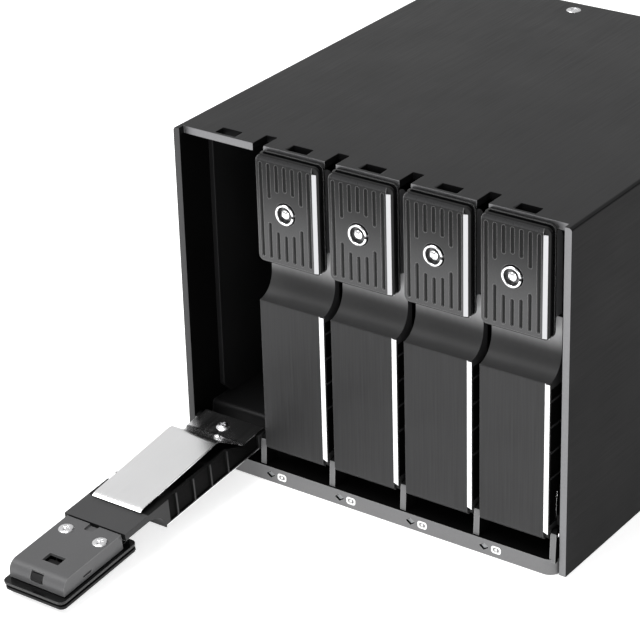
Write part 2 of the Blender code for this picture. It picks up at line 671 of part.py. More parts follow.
def make_rear_sockets():
    tongue_front = BOARD_BACK + GAP + 0.001
    for index, z in enumerate(DATA_PORT_HEIGHTS):
        port = make_port(f"data_port_{index + 1}", DATA_PORT_X, z, 0.0045, 0.0075, 0.0095)
        boxes(port, JOIN, [((DATA_PORT_X - 0.0006, tongue_front, z - 0.0048),
                            (DATA_PORT_X + 0.0006, tongue_front + 0.0065, z + 0.0048))])
    for index, z in enumerate(POWER_HEIGHTS):
        make_port(f"power_socket_{index + 1}", POWER_X, z, 0.0055, 0.0110, 0.0105)


def make_rear_panel():
    bm = bmesh.new()
    add_box(bm, (GAP - INNER_X, PANEL_Y, 0.0015), (INNER_X - GAP, REAR, INNER_TOP - GAP))
    panel = solid("rear_panel", bm, BLACK_STEEL)
    low, high = PANEL_Y - 0.001, REAR + 0.001
    openings = [((DATA_PORT_X - 0.0050, low, z - 0.0080), (DATA_PORT_X + 0.0050, high, z + 0.0080))
                for z in DATA_PORT_HEIGHTS]
    openings += [((POWER_X - 0.0060, low, z - 0.0115), (POWER_X + 0.0060, high, z + 0.0115))
                 for z in POWER_HEIGHTS]
    boxes(panel, CUT, openings)
    cylinders(panel, CUT, [((0, low, FAN_Z), (0, high, FAN_Z), FAN_BORE_RADIUS)], 48)


SPIDER_DEPTH = 0.0028
SPIDER_RADIUS = 0.015
ARM_LENGTH = 0.026
MOUNT_SPACING = 0.0715          # between the fan's screw holes


def make_fan_frame():
    half, back = FAN_SIZE / 2, FAN_Y + FAN_DEPTH
    shape = rounded_rectangle(-half, FAN_Z - half, half, FAN_Z + half, 0.005, 3)
    frame = extruded("fan_frame", shape, "XZ", FAN_Y, back, BLACK_PLASTIC)
    cylinders(frame, CUT, [((0, FAN_Y - 0.001, FAN_Z), (0, back + 0.001, FAN_Z), FAN_BORE_RADIUS)], 48)
    boolean(frame, JOIN, make_spider(back))
    corner = MOUNT_SPACING / 2
    holes = [((x, FAN_Y - 0.001, FAN_Z + z), (x, back + 0.001, FAN_Z + z), 0.0021)
             for x in (-corner, corner) for z in (-corner, corner)]
    cylinders(frame, CUT, holes, 12)


def make_spider(back):
    """The motor's seat and the three arms that carry it, at the rear of the frame."""
    bm = bmesh.new()
    add_cylinder(bm, (0, back - SPIDER_DEPTH, FAN_Z), (0, back, FAN_Z), SPIDER_RADIUS)
    spider = solid("fan_spider", bm)
    arms = bmesh.new()
    reach = FAN_BORE_RADIUS + 0.0005 - ARM_LENGTH / 2
    size = Matrix.Diagonal((ARM_LENGTH, SPIDER_DEPTH - 0.0004, 0.0040, 1.0))
    for turn in range(3):
        around = Matrix.Rotation(math.radians(120 * turn + 15), 4, "Y")
        centre = Matrix.Translation((0, back - SPIDER_DEPTH / 2, FAN_Z)) @ around
        bmesh.ops.create_cube(arms, size=1.0, matrix=centre @ Matrix.Translation((reach, 0, 0)) @ size)
    boolean(spider, JOIN, solid("fan_arms", arms))
    return new_object("fan_spider", baked_mesh(spider), PARTS)


HUB_RADIUS = 0.0165
BLADE_CHORD = 0.0210
BLADE_LENGTH = 0.0210
BLADE_THICKNESS = 0.0014
BLADE_PITCH = math.radians(38)


def make_fan_rotor():
    """Hub and pitched blades; the object's origin is on the spin axis."""
    front, back = FAN_Y + 0.0015, FAN_Y + FAN_DEPTH - 0.0036
    half = (back - front) / 2
    bm = bmesh.new()
    add_cylinder(bm, (0, -half, 0), (0, half, 0), HUB_RADIUS, 28)
    rotor = solid("fan_rotor", bm, BLACK_PLASTIC)
    blades = bmesh.new()
    size = Matrix.Diagonal((BLADE_LENGTH, BLADE_THICKNESS, BLADE_CHORD, 1.0))
    for turn in range(BLADE_COUNT):
        around = Matrix.Rotation(2 * math.pi * turn / BLADE_COUNT, 4, "Y")
        out = Matrix.Translation((HUB_RADIUS - 0.001 + BLADE_LENGTH / 2, 0, 0))
        place = out @ Matrix.Rotation(BLADE_PITCH, 4, "X")
        bmesh.ops.create_cube(blades, size=1.0, matrix=around @ place @ size)
    boolean(rotor, JOIN, solid("fan_blades", blades))
    rotor = new_object("fan_rotor", baked_mesh(rotor), PARTS)
    rotor.location = (0, (front + back) / 2, FAN_Z)


def ring(name, radius, half_width, low, high, segments=32):
    """A flat ring about the fan's axis, turned from a rectangular profile."""
    mesh = bpy.data.meshes.new(name)
    inner, outer = radius - half_width, radius + half_width
    profile = [(outer, 0, high), (outer, 0, low), (inner, 0, low), (inner, 0, high)]
    mesh.from_pydata(profile, [(0, 1), (1, 2), (2, 3), (3, 0)], [])
    item = new_object(name, mesh, PARTS)
    screw = item.modifiers.new("Turn", "SCREW")
    screw.axis = "Z"
    screw.angle = 2 * math.pi
    screw.steps = segments
    screw.render_steps = segments
    screw.use_merge_vertices = True
    screw.merge_threshold = 0.00001
    turned = baked_mesh(item)
    turned.transform(Matrix.Translation((0, 0, FAN_Z)) @ Matrix.Rotation(math.radians(90), 4, "X"))
    return new_object(name, turned, PARTS)


GUARD_RADII = (0.013, 0.025, 0.037)
GUARD_BAR = (0.1040, 0.0014, 0.0030)    # length, thickness and width


def make_fan_guard():
    """Three flat rings on a cross of bars that reaches the corner screws."""
    low = FAN_Y + FAN_DEPTH + GAP
    high = low + GUARD_BAR[1]
    middle = Matrix.Translation((0, (low + high) / 2, FAN_Z))
    bars = []
    for angle in (45, -45):
        bm = bmesh.new()
        turned = middle @ Matrix.Rotation(math.radians(angle), 4, "Y") @ Matrix.Diagonal((*GUARD_BAR, 1.0))
        bmesh.ops.create_cube(bm, size=1.0, matrix=turned)
        bars.append(solid("fan_guard", bm, BRIGHT_STEEL))
    guard, cross = bars
    boolean(guard, JOIN, cross)
    for radius in GUARD_RADII:
        boolean(guard, JOIN, ring("guard_ring", radius, 0.0009, -high, -low))


# ---------------------------------------------------------------- assembly

make_sleeve()
make_bottom_plate()
make_drive_floor()
make_sill()
make_light_pipe()
make_hinge_rod()
make_dividers()
make_doors()
make_backplane()
make_drive_sockets()
make_rear_sockets()
make_rear_panel()
make_fan_frame()
make_fan_rotor()
make_fan_guard()
smooth_round_faces()
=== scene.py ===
"""Looks for a five-bay hot-swap drive cage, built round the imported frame.

Units are metres, +Z is up and -Y is the front. A door's pieces are made once in the door's own
frame, whose origin is on the hinge axis under the middle of the bay, and are then hung in each bay.
"""

import json
import math

import bmesh
import bpy
from mathutils import Matrix, Vector


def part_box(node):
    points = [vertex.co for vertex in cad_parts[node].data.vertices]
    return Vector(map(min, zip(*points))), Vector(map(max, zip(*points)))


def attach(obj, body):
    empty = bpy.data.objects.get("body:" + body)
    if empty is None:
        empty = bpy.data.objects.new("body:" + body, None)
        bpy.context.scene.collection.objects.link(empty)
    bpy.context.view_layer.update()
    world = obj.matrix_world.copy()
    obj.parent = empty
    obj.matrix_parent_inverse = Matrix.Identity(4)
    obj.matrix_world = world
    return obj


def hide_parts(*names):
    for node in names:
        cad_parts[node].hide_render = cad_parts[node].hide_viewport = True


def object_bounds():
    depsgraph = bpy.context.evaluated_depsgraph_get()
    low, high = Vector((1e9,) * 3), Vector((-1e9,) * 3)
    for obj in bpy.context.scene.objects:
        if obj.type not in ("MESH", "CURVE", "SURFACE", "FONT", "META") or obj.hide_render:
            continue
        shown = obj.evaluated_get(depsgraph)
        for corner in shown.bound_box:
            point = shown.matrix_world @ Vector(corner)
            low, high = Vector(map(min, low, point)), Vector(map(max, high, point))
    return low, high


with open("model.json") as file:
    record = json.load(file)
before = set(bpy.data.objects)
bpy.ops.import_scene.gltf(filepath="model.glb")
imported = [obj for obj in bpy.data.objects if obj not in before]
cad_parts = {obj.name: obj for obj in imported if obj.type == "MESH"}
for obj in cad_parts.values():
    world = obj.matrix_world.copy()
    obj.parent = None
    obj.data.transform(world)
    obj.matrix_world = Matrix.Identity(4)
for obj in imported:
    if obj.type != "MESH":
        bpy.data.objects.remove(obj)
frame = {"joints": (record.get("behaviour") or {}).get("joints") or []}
CAD_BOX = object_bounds()

# ---- shader nodes


def feed(tree, node, **inputs):
    """Set a node's inputs, named with _ for a space; each is a value or the output that feeds it."""
    for name, value in inputs.items():
        socket = node.inputs[name.replace("_", " ")]
        if isinstance(value, bpy.types.NodeSocket):
            tree.links.new(value, socket)
        else:
            socket.default_value = value
    return node


def link_range(tree, value, low, high, source=(0.3, 0.7)):
    node = tree.nodes.new("ShaderNodeMapRange")
    feed(tree, node, Value=value, From_Min=source[0], From_Max=source[1], To_Min=low, To_Max=high)
    return node.outputs["Result"]


def link_noise(tree, coordinates, scale, detail):
    """A noise texture whose grain is stretched by a scale for each axis."""
    mapping = feed(tree, tree.nodes.new("ShaderNodeMapping"), Vector=coordinates, Scale=scale)
    noise = tree.nodes.new("ShaderNodeTexNoise")
    feed(tree, noise, Vector=mapping.outputs["Vector"], Scale=1.0, Detail=detail)
    return noise.outputs["Fac"]


def link_split(tree, coordinates):
    """The coordinates' three parts, by axis."""
    return feed(tree, tree.nodes.new("ShaderNodeSeparateXYZ"), Vector=coordinates).outputs


def vector_math(tree, operation):
    node = tree.nodes.new("ShaderNodeVectorMath")
    node.operation = operation
    return node


def link_scaled(tree, colour, factor):
    return feed(tree, vector_math(tree, "SCALE"), Vector=colour, Scale=factor).outputs["Vector"]


def link_painted_light_by_height(tree, coordinates, colour, painted_light_by_height):
    """Scale the colour by a factor that changes smoothly with height; this paints shade and light by height.
    """
    low, low_factor, high, high_factor = painted_light_by_height
    factor = link_range(tree, link_split(tree, coordinates)["Z"], low_factor, high_factor, (low, high))
    factor.node.interpolation_type = "SMOOTHSTEP"
    return link_scaled(tree, colour, factor)


def link_edge_wear_and_highlight(tree, colour, edge_wear_and_highlight):
    """Blend to a lighter colour where the surface turns sharply: partly rubbed edges, partly a painted
    highlight.
    """
    soft = feed(tree, tree.nodes.new("ShaderNodeBevel"), Radius=EDGE_WEAR_AND_HIGHLIGHT_RADIUS)
    soft.samples = 4
    geometry = tree.nodes.new("ShaderNodeNewGeometry")
    dot = vector_math(tree, "DOT_PRODUCT")
    for socket, node in zip(dot.inputs, (soft, geometry)):
        tree.links.new(node.outputs["Normal"], socket)
    mix = tree.nodes.new("ShaderNodeMix")
    mix.data_type = "RGBA"
    edge_wear_and_highlight_mask = link_range(tree, dot.outputs["Value"], EDGE_WEAR_AND_HIGHLIGHT_STRENGTH, 0.0, EDGE_WEAR_AND_HIGHLIGHT_TURN)
    return feed(tree, mix, Factor=edge_wear_and_highlight_mask, A=colour, B=(*edge_wear_and_highlight, 1.0)).outputs["Result"]


# ---- camera and studio

CAMERA_PLACE = (0.41032, -0.66806, 0.42946)
CAMERA_RIGHT = Vector((0.81502894, 0.5788009, -0.02678319))
CAMERA_FORWARD = Vector((-0.52784436, 0.72262275, -0.44631457))
CAMERA_LENS = 145.05
TENT_LEFT, TENT_RIGHT, TENT_STRENGTH = 1.0, 0.45, 0.8
PAPER_GLOW = 0.6                # keeps the paper white in the object's shadow


def make_camera():
    camera = bpy.data.objects.new("camera", bpy.data.cameras.new("camera"))
    bpy.context.scene.collection.objects.link(camera)
    up = CAMERA_RIGHT.cross(CAMERA_FORWARD)
    aim = Matrix((CAMERA_RIGHT, up, -CAMERA_FORWARD)).transposed().to_4x4()
    camera.matrix_world = shift(CAMERA_PLACE) @ aim
    camera.data.lens = CAMERA_LENS
    camera.data.clip_start = 0.01
    bpy.context.scene.camera = camera


def make_world():
    """A white tent, brighter on the left and overhead than on the right."""
    world = bpy.data.worlds.new("studio")
    bpy.context.scene.world = world
    world.use_nodes = True
    tree = world.node_tree
    across = link_split(tree, tree.nodes.new("ShaderNodeTexCoord").outputs["Generated"])["X"]
    level = link_range(tree, across, TENT_LEFT, TENT_RIGHT, (-1.0, 1.0))
    feed(tree, tree.nodes["Background"], Color=level, Strength=TENT_STRENGTH)


def add_light(name, place, target, size, power):
    light = bpy.data.lights.new(name, "AREA")
    light.energy = power
    light.size = size
    item = bpy.data.objects.new(name, light)
    bpy.context.scene.collection.objects.link(item)
    item.location = place
    item.rotation_mode = "QUATERNION"
    item.rotation_quaternion = (Vector(target) - Vector(place)).to_track_quat("-Z", "Y")


def make_floor():
    bm = bmesh.new()
    bmesh.ops.create_grid(bm, x_segments=8, y_segments=8, size=6.0)
    mesh = bpy.data.meshes.new("floor")
    bm.to_mesh(mesh)
    bm.free()
    paper = bpy.data.materials.new("paper")
    paper.use_nodes = True
    tree = paper.node_tree
    feed(tree, tree.nodes["Principled BSDF"], Base_Color=(0.93, 0.93, 0.93, 1.0), Roughness=0.9,
         Specular_IOR_Level=0.0, Emission_Color=(1.0, 1.0, 1.0, 1.0), Emission_Strength=PAPER_GLOW)
    mesh.materials.append(paper)
    floor = bpy.data.objects.new("floor", mesh)
    bpy.context.scene.collection.objects.link(floor)
    floor.location.z = CAD_BOX[0].z - 0.0002


def make_studio():
    make_camera()
    make_world()
    make_floor()
    middle = (0.0, 0.0, 0.06)
    add_light("key", (-0.35, -0.45, 0.95), middle, 0.7, 9.0)
    add_light("front", (0.55, -0.85, 0.35), middle, 0.5, 4.0)
    bpy.context.scene.view_settings.view_transform = "Standard"


# ---- sizes, from the frame


def joint(name):
    return next(row for row in frame["joints"] if row["name"] == name)


BAYS = range(1, 6)
MIDDLE_BAY = 3
HINGE = Vector(joint(f"door_hinge_{MIDDLE_BAY}")["pos_m"])


def door_box(node):
    """The box of one node of the middle bay's closed door, in the door's own frame."""
    low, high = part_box(f"{node}_{MIDDLE_BAY}")
    return low - HINGE, high - HINGE


SLEEVE_LOW, SLEEVE_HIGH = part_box("sleeve")
SILL_LOW, SILL_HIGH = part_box("front_sill")
FLOOR_LOW, FLOOR_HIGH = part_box("drive_floor")
BOARD_LOW, BOARD_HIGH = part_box("backplane_board")
PANEL_LOW, PANEL_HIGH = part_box("rear_panel")
FAN_LOW, FAN_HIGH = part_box("fan_frame")
FAN_Z = (FAN_LOW.z + FAN_HIGH.z) / 2
ROTOR_LOW, ROTOR_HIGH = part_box("fan_rotor")
GUARD_LOW, GUARD_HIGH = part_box("fan_guard")
DOOR_HIGH = door_box("door")[1]
PLATE_LOW, PLATE_HIGH = door_box("latch_plate")
COVER_LOW, COVER_HIGH = door_box("latch_cover")
SPRING_LOW, SPRING_HIGH = door_box("door_spring")
BOLT_LOW, BOLT_HIGH = door_box("lock_bolt")
LOCK_LOW, LOCK_HIGH = door_box("lock_cylinder")

FRONT, REAR = SLEEVE_LOW.y, SLEEVE_HIGH.y
BAY_XS = [joint(f"door_hinge_{bay}")["pos_m"][0] for bay in BAYS]
BAY_PITCH = BAY_XS[1] - BAY_XS[0]
BOUNDARY_XS = [x + BAY_PITCH / 2 for x in BAY_XS[:-1]]
WALL = 0.0025
INNER_X = SLEEVE_HIGH.x - WALL
INNER_TOP = SLEEVE_HIGH.z - WALL
GAP = 0.0003                    # between pieces that lie side by side
OVER = 0.001                    # how far a tool reaches past the face it cuts, or a piece into another

# ---- materials

# the edge mix lightens sharp edges, partly as rubbing and partly as a painted highlight
EDGE_WEAR_AND_HIGHLIGHT_RADIUS = 0.0004
EDGE_WEAR_AND_HIGHLIGHT_STRENGTH = 0.75
EDGE_WEAR_AND_HIGHLIGHT_TURN = (0.80, 0.985)       # cosines between which an edge goes from fully rubbed and painted bright to plain
MOTTLE_SCALE = 45.0
MOTTLE_SHARE = 0.35


def finish(name, colour, roughness, metallic, grain, tint, swing, bump=0.00001, edge_wear_and_highlight=None, painted_light_by_height=None,
           specular=0.5, **sockets):
    """A procedural surface: fine grain and broad mottling move its colour, roughness and height.

    The grain is a noise scale, or one for each axis. A painted_light_by_height is (low z, factor there,
    high z, factor there) and scales the colour between two heights, as painted shade and light.
    """
    material = bpy.data.materials.new(name)
    material.use_nodes = True
    tree = material.node_tree
    place = tree.nodes.new("ShaderNodeTexCoord").outputs["Object"]
    fine = link_noise(tree, place, grain if isinstance(grain, tuple) else (grain,) * 3, 3.0)
    broad = link_noise(tree, place, (MOTTLE_SCALE,) * 3, 2.0)
    both = feed(tree, tree.nodes.new("ShaderNodeMix"), Factor=MOTTLE_SHARE, A=fine, B=broad)
    level = both.outputs["Result"]
    surface = link_scaled(tree, colour, link_range(tree, level, 1.0 - tint, 1.0 + tint))
    if painted_light_by_height:
        surface = link_painted_light_by_height(tree, place, surface, painted_light_by_height)
    if edge_wear_and_highlight:
        surface = link_edge_wear_and_highlight(tree, surface, grey(edge_wear_and_highlight))
    rough = link_range(tree, level, max(roughness - swing, 0.02), roughness + swing)
    relief = feed(tree, tree.nodes.new("ShaderNodeBump"), Distance=bump, Height=fine)
    feed(tree, tree.nodes["Principled BSDF"], Base_Color=surface, Metallic=metallic, Roughness=rough,
         Normal=relief.outputs["Normal"], Specular_IOR_Level=specular, **sockets)
    return material


def grey(level, blue=None):
    """A grey whose blue may differ a little."""
    return (level, level, blue or level)


ALONG_Y = (2600, 45, 2600)
ALONG_Z = (2600, 2600, 45)
SLEEVE_TOP = finish("sleeve_brushed", grey(0.022, 0.0228), 0.40, 0.9, ALONG_Y, 0.26, 0.08, 0.000008)
# the sides: a darker, duller copy of the top's sheet, as painted shade
SLEEVE_SIDE_SHADE = finish("sleeve_side", grey(0.0040, 0.0042), 0.44, 0.02, ALONG_Y, 0.28, 0.08, 0.000008,
                     specular=0.05)
CUT_EDGE = finish("cut_edge", grey(0.21, 0.215), 0.45, 1.0, 1500, 0.12, 0.1)
# the left wall's front edge: a darker copy of the cut edge, as painted shade
LEFT_EDGE_SHADE = finish("dark_edge", grey(0.055, 0.056), 0.45, 0.8, 1500, 0.12, 0.1)
SKIN = finish("skin_brushed", grey(0.034, 0.0347), 0.50, 0.45, ALONG_Z, 0.24, 0.08, 0.000006, edge_wear_and_highlight=0.12,
              specular=0.2)
# head face: satin grey, scaled darker towards its top as painted shade
HEAD_SATIN_SHADED = finish("head_satin", grey(0.070, 0.071), 0.42, 0.6, (3000, 3000, 1200), 0.10, 0.08, 0.000006,
              edge_wear_and_highlight=0.26, painted_light_by_height=(0.0740, 1.03, 0.1010, 0.20), specular=0.3)
# the head's rolled top: a darker copy of the head satin as painted shade; its edge mix is a strong painted
# highlight
HEAD_ROLL_SHADE = finish("head_roll", grey(0.030, 0.031), 0.30, 0.6, (3000, 3000, 1200), 0.10, 0.08, 0.000006,
                   edge_wear_and_highlight=0.42, specular=0.3)
STRIP = finish("polished_strip", grey(0.84, 0.85), 0.24, 1.0, ALONG_Z, 0.04, 0.05, 0.000002)
HEAD_STRIP = finish("satin_strip", grey(0.44, 0.45), 0.30, 1.0, ALONG_Z, 0.04, 0.05, 0.000002)
# curved front under the head: light grey as a painted reflection at its top, scaled down to painted shade
# lower
SCOOP_PAINTED_LIGHT = finish("scoop_satin", grey(0.40, 0.405), 0.42, 0.0, 600, 0.06, 0.05, 0.000002,
               painted_light_by_height=(0.0590, 0.075, 0.0690, 1.0), specular=0.12)
# near-black painted shade in pockets, the channel, the sleeve's inside and on the sill's top
SHADE_BLACK = finish("pocket_black", grey(0.0015), 0.60, 0.0, 2600, 0.3, 0.1, specular=0.05)
RIB = finish("rib_black", grey(0.020, 0.0205), 0.40, 0.0, 2600, 0.3, 0.1, specular=0.2)
NECK_BACK = finish("neck_satin", grey(0.052, 0.053), 0.44, 0.0, 2600, 0.12, 0.1, specular=0.2)
# lock recess and key notch: a darker metal as painted shade
LOCK_RECESS_SHADE = finish("keyway_dark", grey(0.09, 0.092), 0.22, 0.8, 900, 0.2, 0.1)
MOULDED = finish("moulded_black", grey(0.0035, 0.0036), 0.42, 0.0, 2600, 0.3, 0.1, 0.00002, specular=0.18)
# gloss_black: its edge mix paints the highlight lines along the flange's edges
GLOSS = finish("gloss_black", grey(0.004, 0.0042), 0.16, 0.0, 700, 0.2, 0.05, 0.000004, edge_wear_and_highlight=0.13,
               specular=0.35)
COVER = finish("cover_satin", grey(0.085, 0.087), 0.40, 0.0, 3200, 0.10, 0.1, 0.00002, edge_wear_and_highlight=0.17,
               specular=0.3)
SILL = finish("sill_grey", grey(0.135, 0.137), 0.46, 0.2, 2600, 0.08, 0.08, 0.00002, edge_wear_and_highlight=0.30)
SPRING = finish("spring_steel", grey(0.96, 0.965), 0.22, 1.0, ALONG_Z, 0.03, 0.07, 0.000004)
CHROME = finish("chrome", grey(0.90, 0.91), 0.07, 1.0, 300, 0.03, 0.03, 0.000001)
SCREW = finish("screw_zinc", grey(0.80, 0.81), 0.26, 1.0, 1500, 0.12, 0.1, 0.000006)
DARK_SCREW = finish("screw_black", grey(0.05, 0.052), 0.34, 0.8, 1500, 0.2, 0.1)
STEEL_BLACK = finish("painted_steel", grey(0.009, 0.0093), 0.44, 0.2, 2600, 0.25, 0.1, 0.00002,
                     edge_wear_and_highlight=0.05, specular=0.2)
WIRE = finish("guard_wire", grey(0.62, 0.63), 0.24, 1.0, 900, 0.1, 0.1)
BOARD = finish("solder_mask", (0.012, 0.075, 0.032), 0.34, 0.0, (260, 4, 260), 0.45, 0.08, 0.00004,
               Coat_Weight=0.4)
GOLD = finish("contact_gold", (0.85, 0.58, 0.22), 0.22, 1.0, 900, 0.1, 0.08)
CLEAR = finish("light_guide", (0.34, 0.35, 0.36), 0.22, 0.0, 500, 0.1, 0.08, Transmission_Weight=0.25)
PRINT = finish("white_print", grey(0.86), 0.55, 0.0, 2600, 0.04, 0.1)
CHIP = finish("chip_epoxy", grey(0.02, 0.021), 0.5, 0.0, 3200, 0.2, 0.1)

# ---- shape helpers

PLANES = {
    "YZ": Matrix(((0, 0, 1, 0), (1, 0, 0, 0), (0, 1, 0, 0), (0, 0, 0, 1))),
    "XZ": Matrix(((1, 0, 0, 0), (0, 0, -1, 0), (0, 1, 0, 0), (0, 0, 0, 1))),
    "XY": Matrix.Identity(4),
}
SHIFT_SIGN = {"YZ": 1, "XZ": -1, "XY": 1}
SMOOTH_ANGLE = 40
BEVEL_ANGLE = 32
shift = Matrix.Translation


def turn(degrees, axis):
    return Matrix.Rotation(math.radians(degrees), 4, axis)


def as_object(name, bm):
    """A scratch object that holds the bmesh; it is gone once its shape is baked or used as a tool."""
    mesh = bpy.data.meshes.new(name)
    bm.to_mesh(mesh)
    bm.free()
    item = bpy.data.objects.new(name, mesh)
    bpy.context.scene.collection.objects.link(item)
    return item


def boxes(corner_pairs):
    bm = bmesh.new()
    for low, high in corner_pairs:
        low, high = Vector(low), Vector(high)
        matrix = shift((low + high) / 2) @ Matrix.Diagonal((*(high - low), 1.0))
        bmesh.ops.create_cube(bm, size=1.0, matrix=matrix)
    return as_object("boxes", bm)


def box(low, high):
    return boxes([(low, high)])


def rods(rows, segments=24):
    """Cylinders, each given as start, end and radius."""
    bm = bmesh.new()
    for start, end, radius in rows:
        start, end = Vector(start), Vector(end)
        aim = (end - start).to_track_quat("Z", "Y").to_matrix().to_4x4()
        bmesh.ops.create_cone(bm, cap_ends=True, segments=segments, radius1=radius, radius2=radius,
                              depth=(end - start).length, matrix=shift((start + end) / 2) @ aim)
    return as_object("rods", bm)


def extruded(outline, plane, low, high):
    """A closed outline in the given plane, extruded from low to high along the plane's normal."""
    bm = bmesh.new()
    depth = (high - low) * SHIFT_SIGN[plane]
    start = low * SHIFT_SIGN[plane]
    face = bm.faces.new([bm.verts.new((u, v, start)) for u, v in outline])
    grown = bmesh.ops.extrude_face_region(bm, geom=[face])["geom"]
    bmesh.ops.translate(bm, verts=[v for v in grown if isinstance(v, bmesh.types.BMVert)], vec=(0, 0, depth))
    bmesh.ops.transform(bm, matrix=PLANES[plane], verts=bm.verts)
    bmesh.ops.recalc_face_normals(bm, faces=bm.faces)
    return as_object("extruded", bm)


def arc(centre_u, centre_v, radius_u, radius_v, start, end, steps):
    """Points along an ellipse's arc, from the start angle to the end angle in degrees."""
    angles = [math.radians(start + (end - start) * step / steps) for step in range(steps + 1)]
    return [(centre_u + radius_u * math.cos(a), centre_v + radius_v * math.sin(a)) for a in angles]


def rounded_path(points, cuts, steps=6):
    """Round each inner corner of a path with a curve that starts the given length before it."""
    path = [Vector(points[0])]
    for before, corner, after, cut in zip(points, points[1:], points[2:], cuts):
        before, corner, after = Vector(before), Vector(corner), Vector(after)
        start = corner + (before - corner).normalized() * cut
        end = corner + (after - corner).normalized() * cut
        for step in range(steps + 1):
            t = step / steps
            path.append(start * (1 - t) ** 2 + corner * 2 * t * (1 - t) + end * t ** 2)
    return path + [Vector(points[-1])]


def offset_path(path, distance):
    """The path moved sideways, to its left, by the distance."""
    moved = []
    for index, point in enumerate(path):
        along = path[min(index + 1, len(path) - 1)] - path[max(index - 1, 0)]
        moved.append(point + Vector((-along.y, along.x)).normalized() * distance)
    return moved


def turned(profile, segments=32):
    """Turn (radius, height) points about Z."""
    bm = bmesh.new()
    verts = [bm.verts.new((radius, 0, height)) for radius, height in profile]
    edges = [bm.edges.new(pair) for pair in zip(verts, verts[1:])]
    bmesh.ops.spin(bm, geom=verts + edges, cent=(0, 0, 0), axis=(0, 0, 1), angle=2 * math.pi,
                   steps=segments, use_merge=True)
    bmesh.ops.remove_doubles(bm, verts=bm.verts, dist=0.0000001)
    bmesh.ops.recalc_face_normals(bm, faces=bm.faces)
    return as_object("turned", bm)


def capsule(radius, low, high):
    """A round bar with round ends that stands along Z."""
    bm = bmesh.new()
    bmesh.ops.create_uvsphere(bm, u_segments=16, v_segments=7, radius=radius)
    for vert in bm.verts:
        vert.co.z += high - radius if vert.co.z > 0 else low + radius
    return bm


def combine(target, operation, *tools):
    """Cut tools out of the target or join them on; the tools are used up when the shape is baked."""
    for tool in tools:
        modifier = target.modifiers.new(operation.title(), "BOOLEAN")
        modifier.operation = operation
        modifier.solver = "EXACT"
        modifier.object = tool
    return target


def cut(target, *tools):
    return combine(target, "DIFFERENCE", *tools)


def join(target, *tools):
    return combine(target, "UNION", *tools)


def slab(outline, plane, low, high, steps=6):
    """A plate with round corners; its outline is two corners and a radius."""
    low_u, low_v, high_u, high_v, radius = outline
    corners = ((high_u - radius, low_v + radius, -90), (high_u - radius, high_v - radius, 0),
               (low_u + radius, high_v - radius, 90), (low_u + radius, low_v + radius, 180))
    points = [point for centre_u, centre_v, start in corners
              for point in arc(centre_u, centre_v, radius, radius, start, start + 90, steps)]
    return extruded(points, plane, low, high)


def pegs(spots, low_y, high_y, segments=24):
    """Cylinders along Y, each given as x, z and radius."""
    return rods([((x, low_y, z), (x, high_y, z), radius) for x, z, radius in spots], segments)


def transformed(item, matrix):
    item.data.transform(matrix)
    return item


def applied(item):
    """Apply the object's modifiers to its mesh, and remove the tools that they used."""
    bpy.context.view_layer.update()
    graph = bpy.context.evaluated_depsgraph_get()
    mesh = bpy.data.meshes.new_from_object(item.evaluated_get(graph))
    tools = [m.object for m in item.modifiers if m.type == "BOOLEAN"]
    item.modifiers.clear()
    item.data = mesh
    for tool in tools:
        bpy.data.objects.remove(tool)
    return item


def smoothed(mesh):
    mesh.shade_smooth()
    mesh.set_sharp_from_angle(angle=math.radians(SMOOTH_ANGLE))


def shaped(item, *materials, bevel=0.0002, segments=2, choose=None):
    """The finished mesh of a scratch object: edges rounded, faces painted, normals evened out."""
    applied(item)
    if bevel:
        modifier = item.modifiers.new("Edges", "BEVEL")
        modifier.width = bevel
        modifier.segments = segments
        modifier.limit_method = "ANGLE"
        modifier.angle_limit = math.radians(BEVEL_ANGLE)
        modifier.miter_outer = "MITER_ARC"
        applied(item)
    mesh = item.data
    mesh.materials.clear()
    for material in materials:
        mesh.materials.append(material)
    for face in mesh.polygons:
        face.material_index = choose(face) if choose else 0
    smoothed(mesh)
    weighted = item.modifiers.new("Normals", "WEIGHTED_NORMAL")
    weighted.keep_sharp = True
    applied(item)
    mesh = item.data
    bpy.data.objects.remove(item)
    return mesh


def place(mesh, name, body, slot, matrix=None, replaced=()):
    """Show a finished mesh as a piece that rides on a body, in place of some nodes of the frame."""
    piece = bpy.data.objects.new(name, mesh)
    bpy.context.scene.collection.objects.link(piece)
    if matrix is not None:
        piece.matrix_world = matrix
    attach(piece, body)
    if replaced:
        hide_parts(*replaced)


def on_cage(name, slot, item, *materials, node=None, **shape):
    """Finish a scratch object and show it on the cage, in place of a node of the frame."""
    place(shaped(item, *materials, **shape), name, "cage", slot, replaced=[node] if node else ())


def merged(meshes):
    """One mesh from several (mesh, matrix) pairs that share their material list."""
    bm = bmesh.new()
    for mesh, matrix in meshes:
        copy = mesh.copy()
        copy.transform(matrix)
        bm.from_mesh(copy)
        bpy.data.meshes.remove(copy)
    joined = bpy.data.meshes.new("merged")
    bm.to_mesh(joined)
    bm.free()
    for material in meshes[0][0].materials:
        joined.materials.append(material)
    smoothed(joined)
    return joined


def screw_mesh(radius, height, material):
    """A pan head with a cross recess; it sits on Z = 0 and its top is up."""
    crown = arc(0.0, 0.0, radius, height, 0, 90, 8)
    head = turned([(0.0, -0.0004), (radius * 0.97, -0.0004)] + crown[:-1] + [(0.0, height)], 28)
    reach, half, deep = radius * 0.55, radius * 0.13, height * 0.25
    arms = [box((-x, -y, deep), (x, y, height * 2)) for x, y in ((reach, half), (half, reach))]
    return shaped(cut(head, *arms), material, bevel=0.00006, segments=1)


FACE_FRONT = turn(90, "X")      # turns +Z to -Y
FACE_REAR = turn(-90, "X")      # turns +Z to +Y

# ---- sleeve

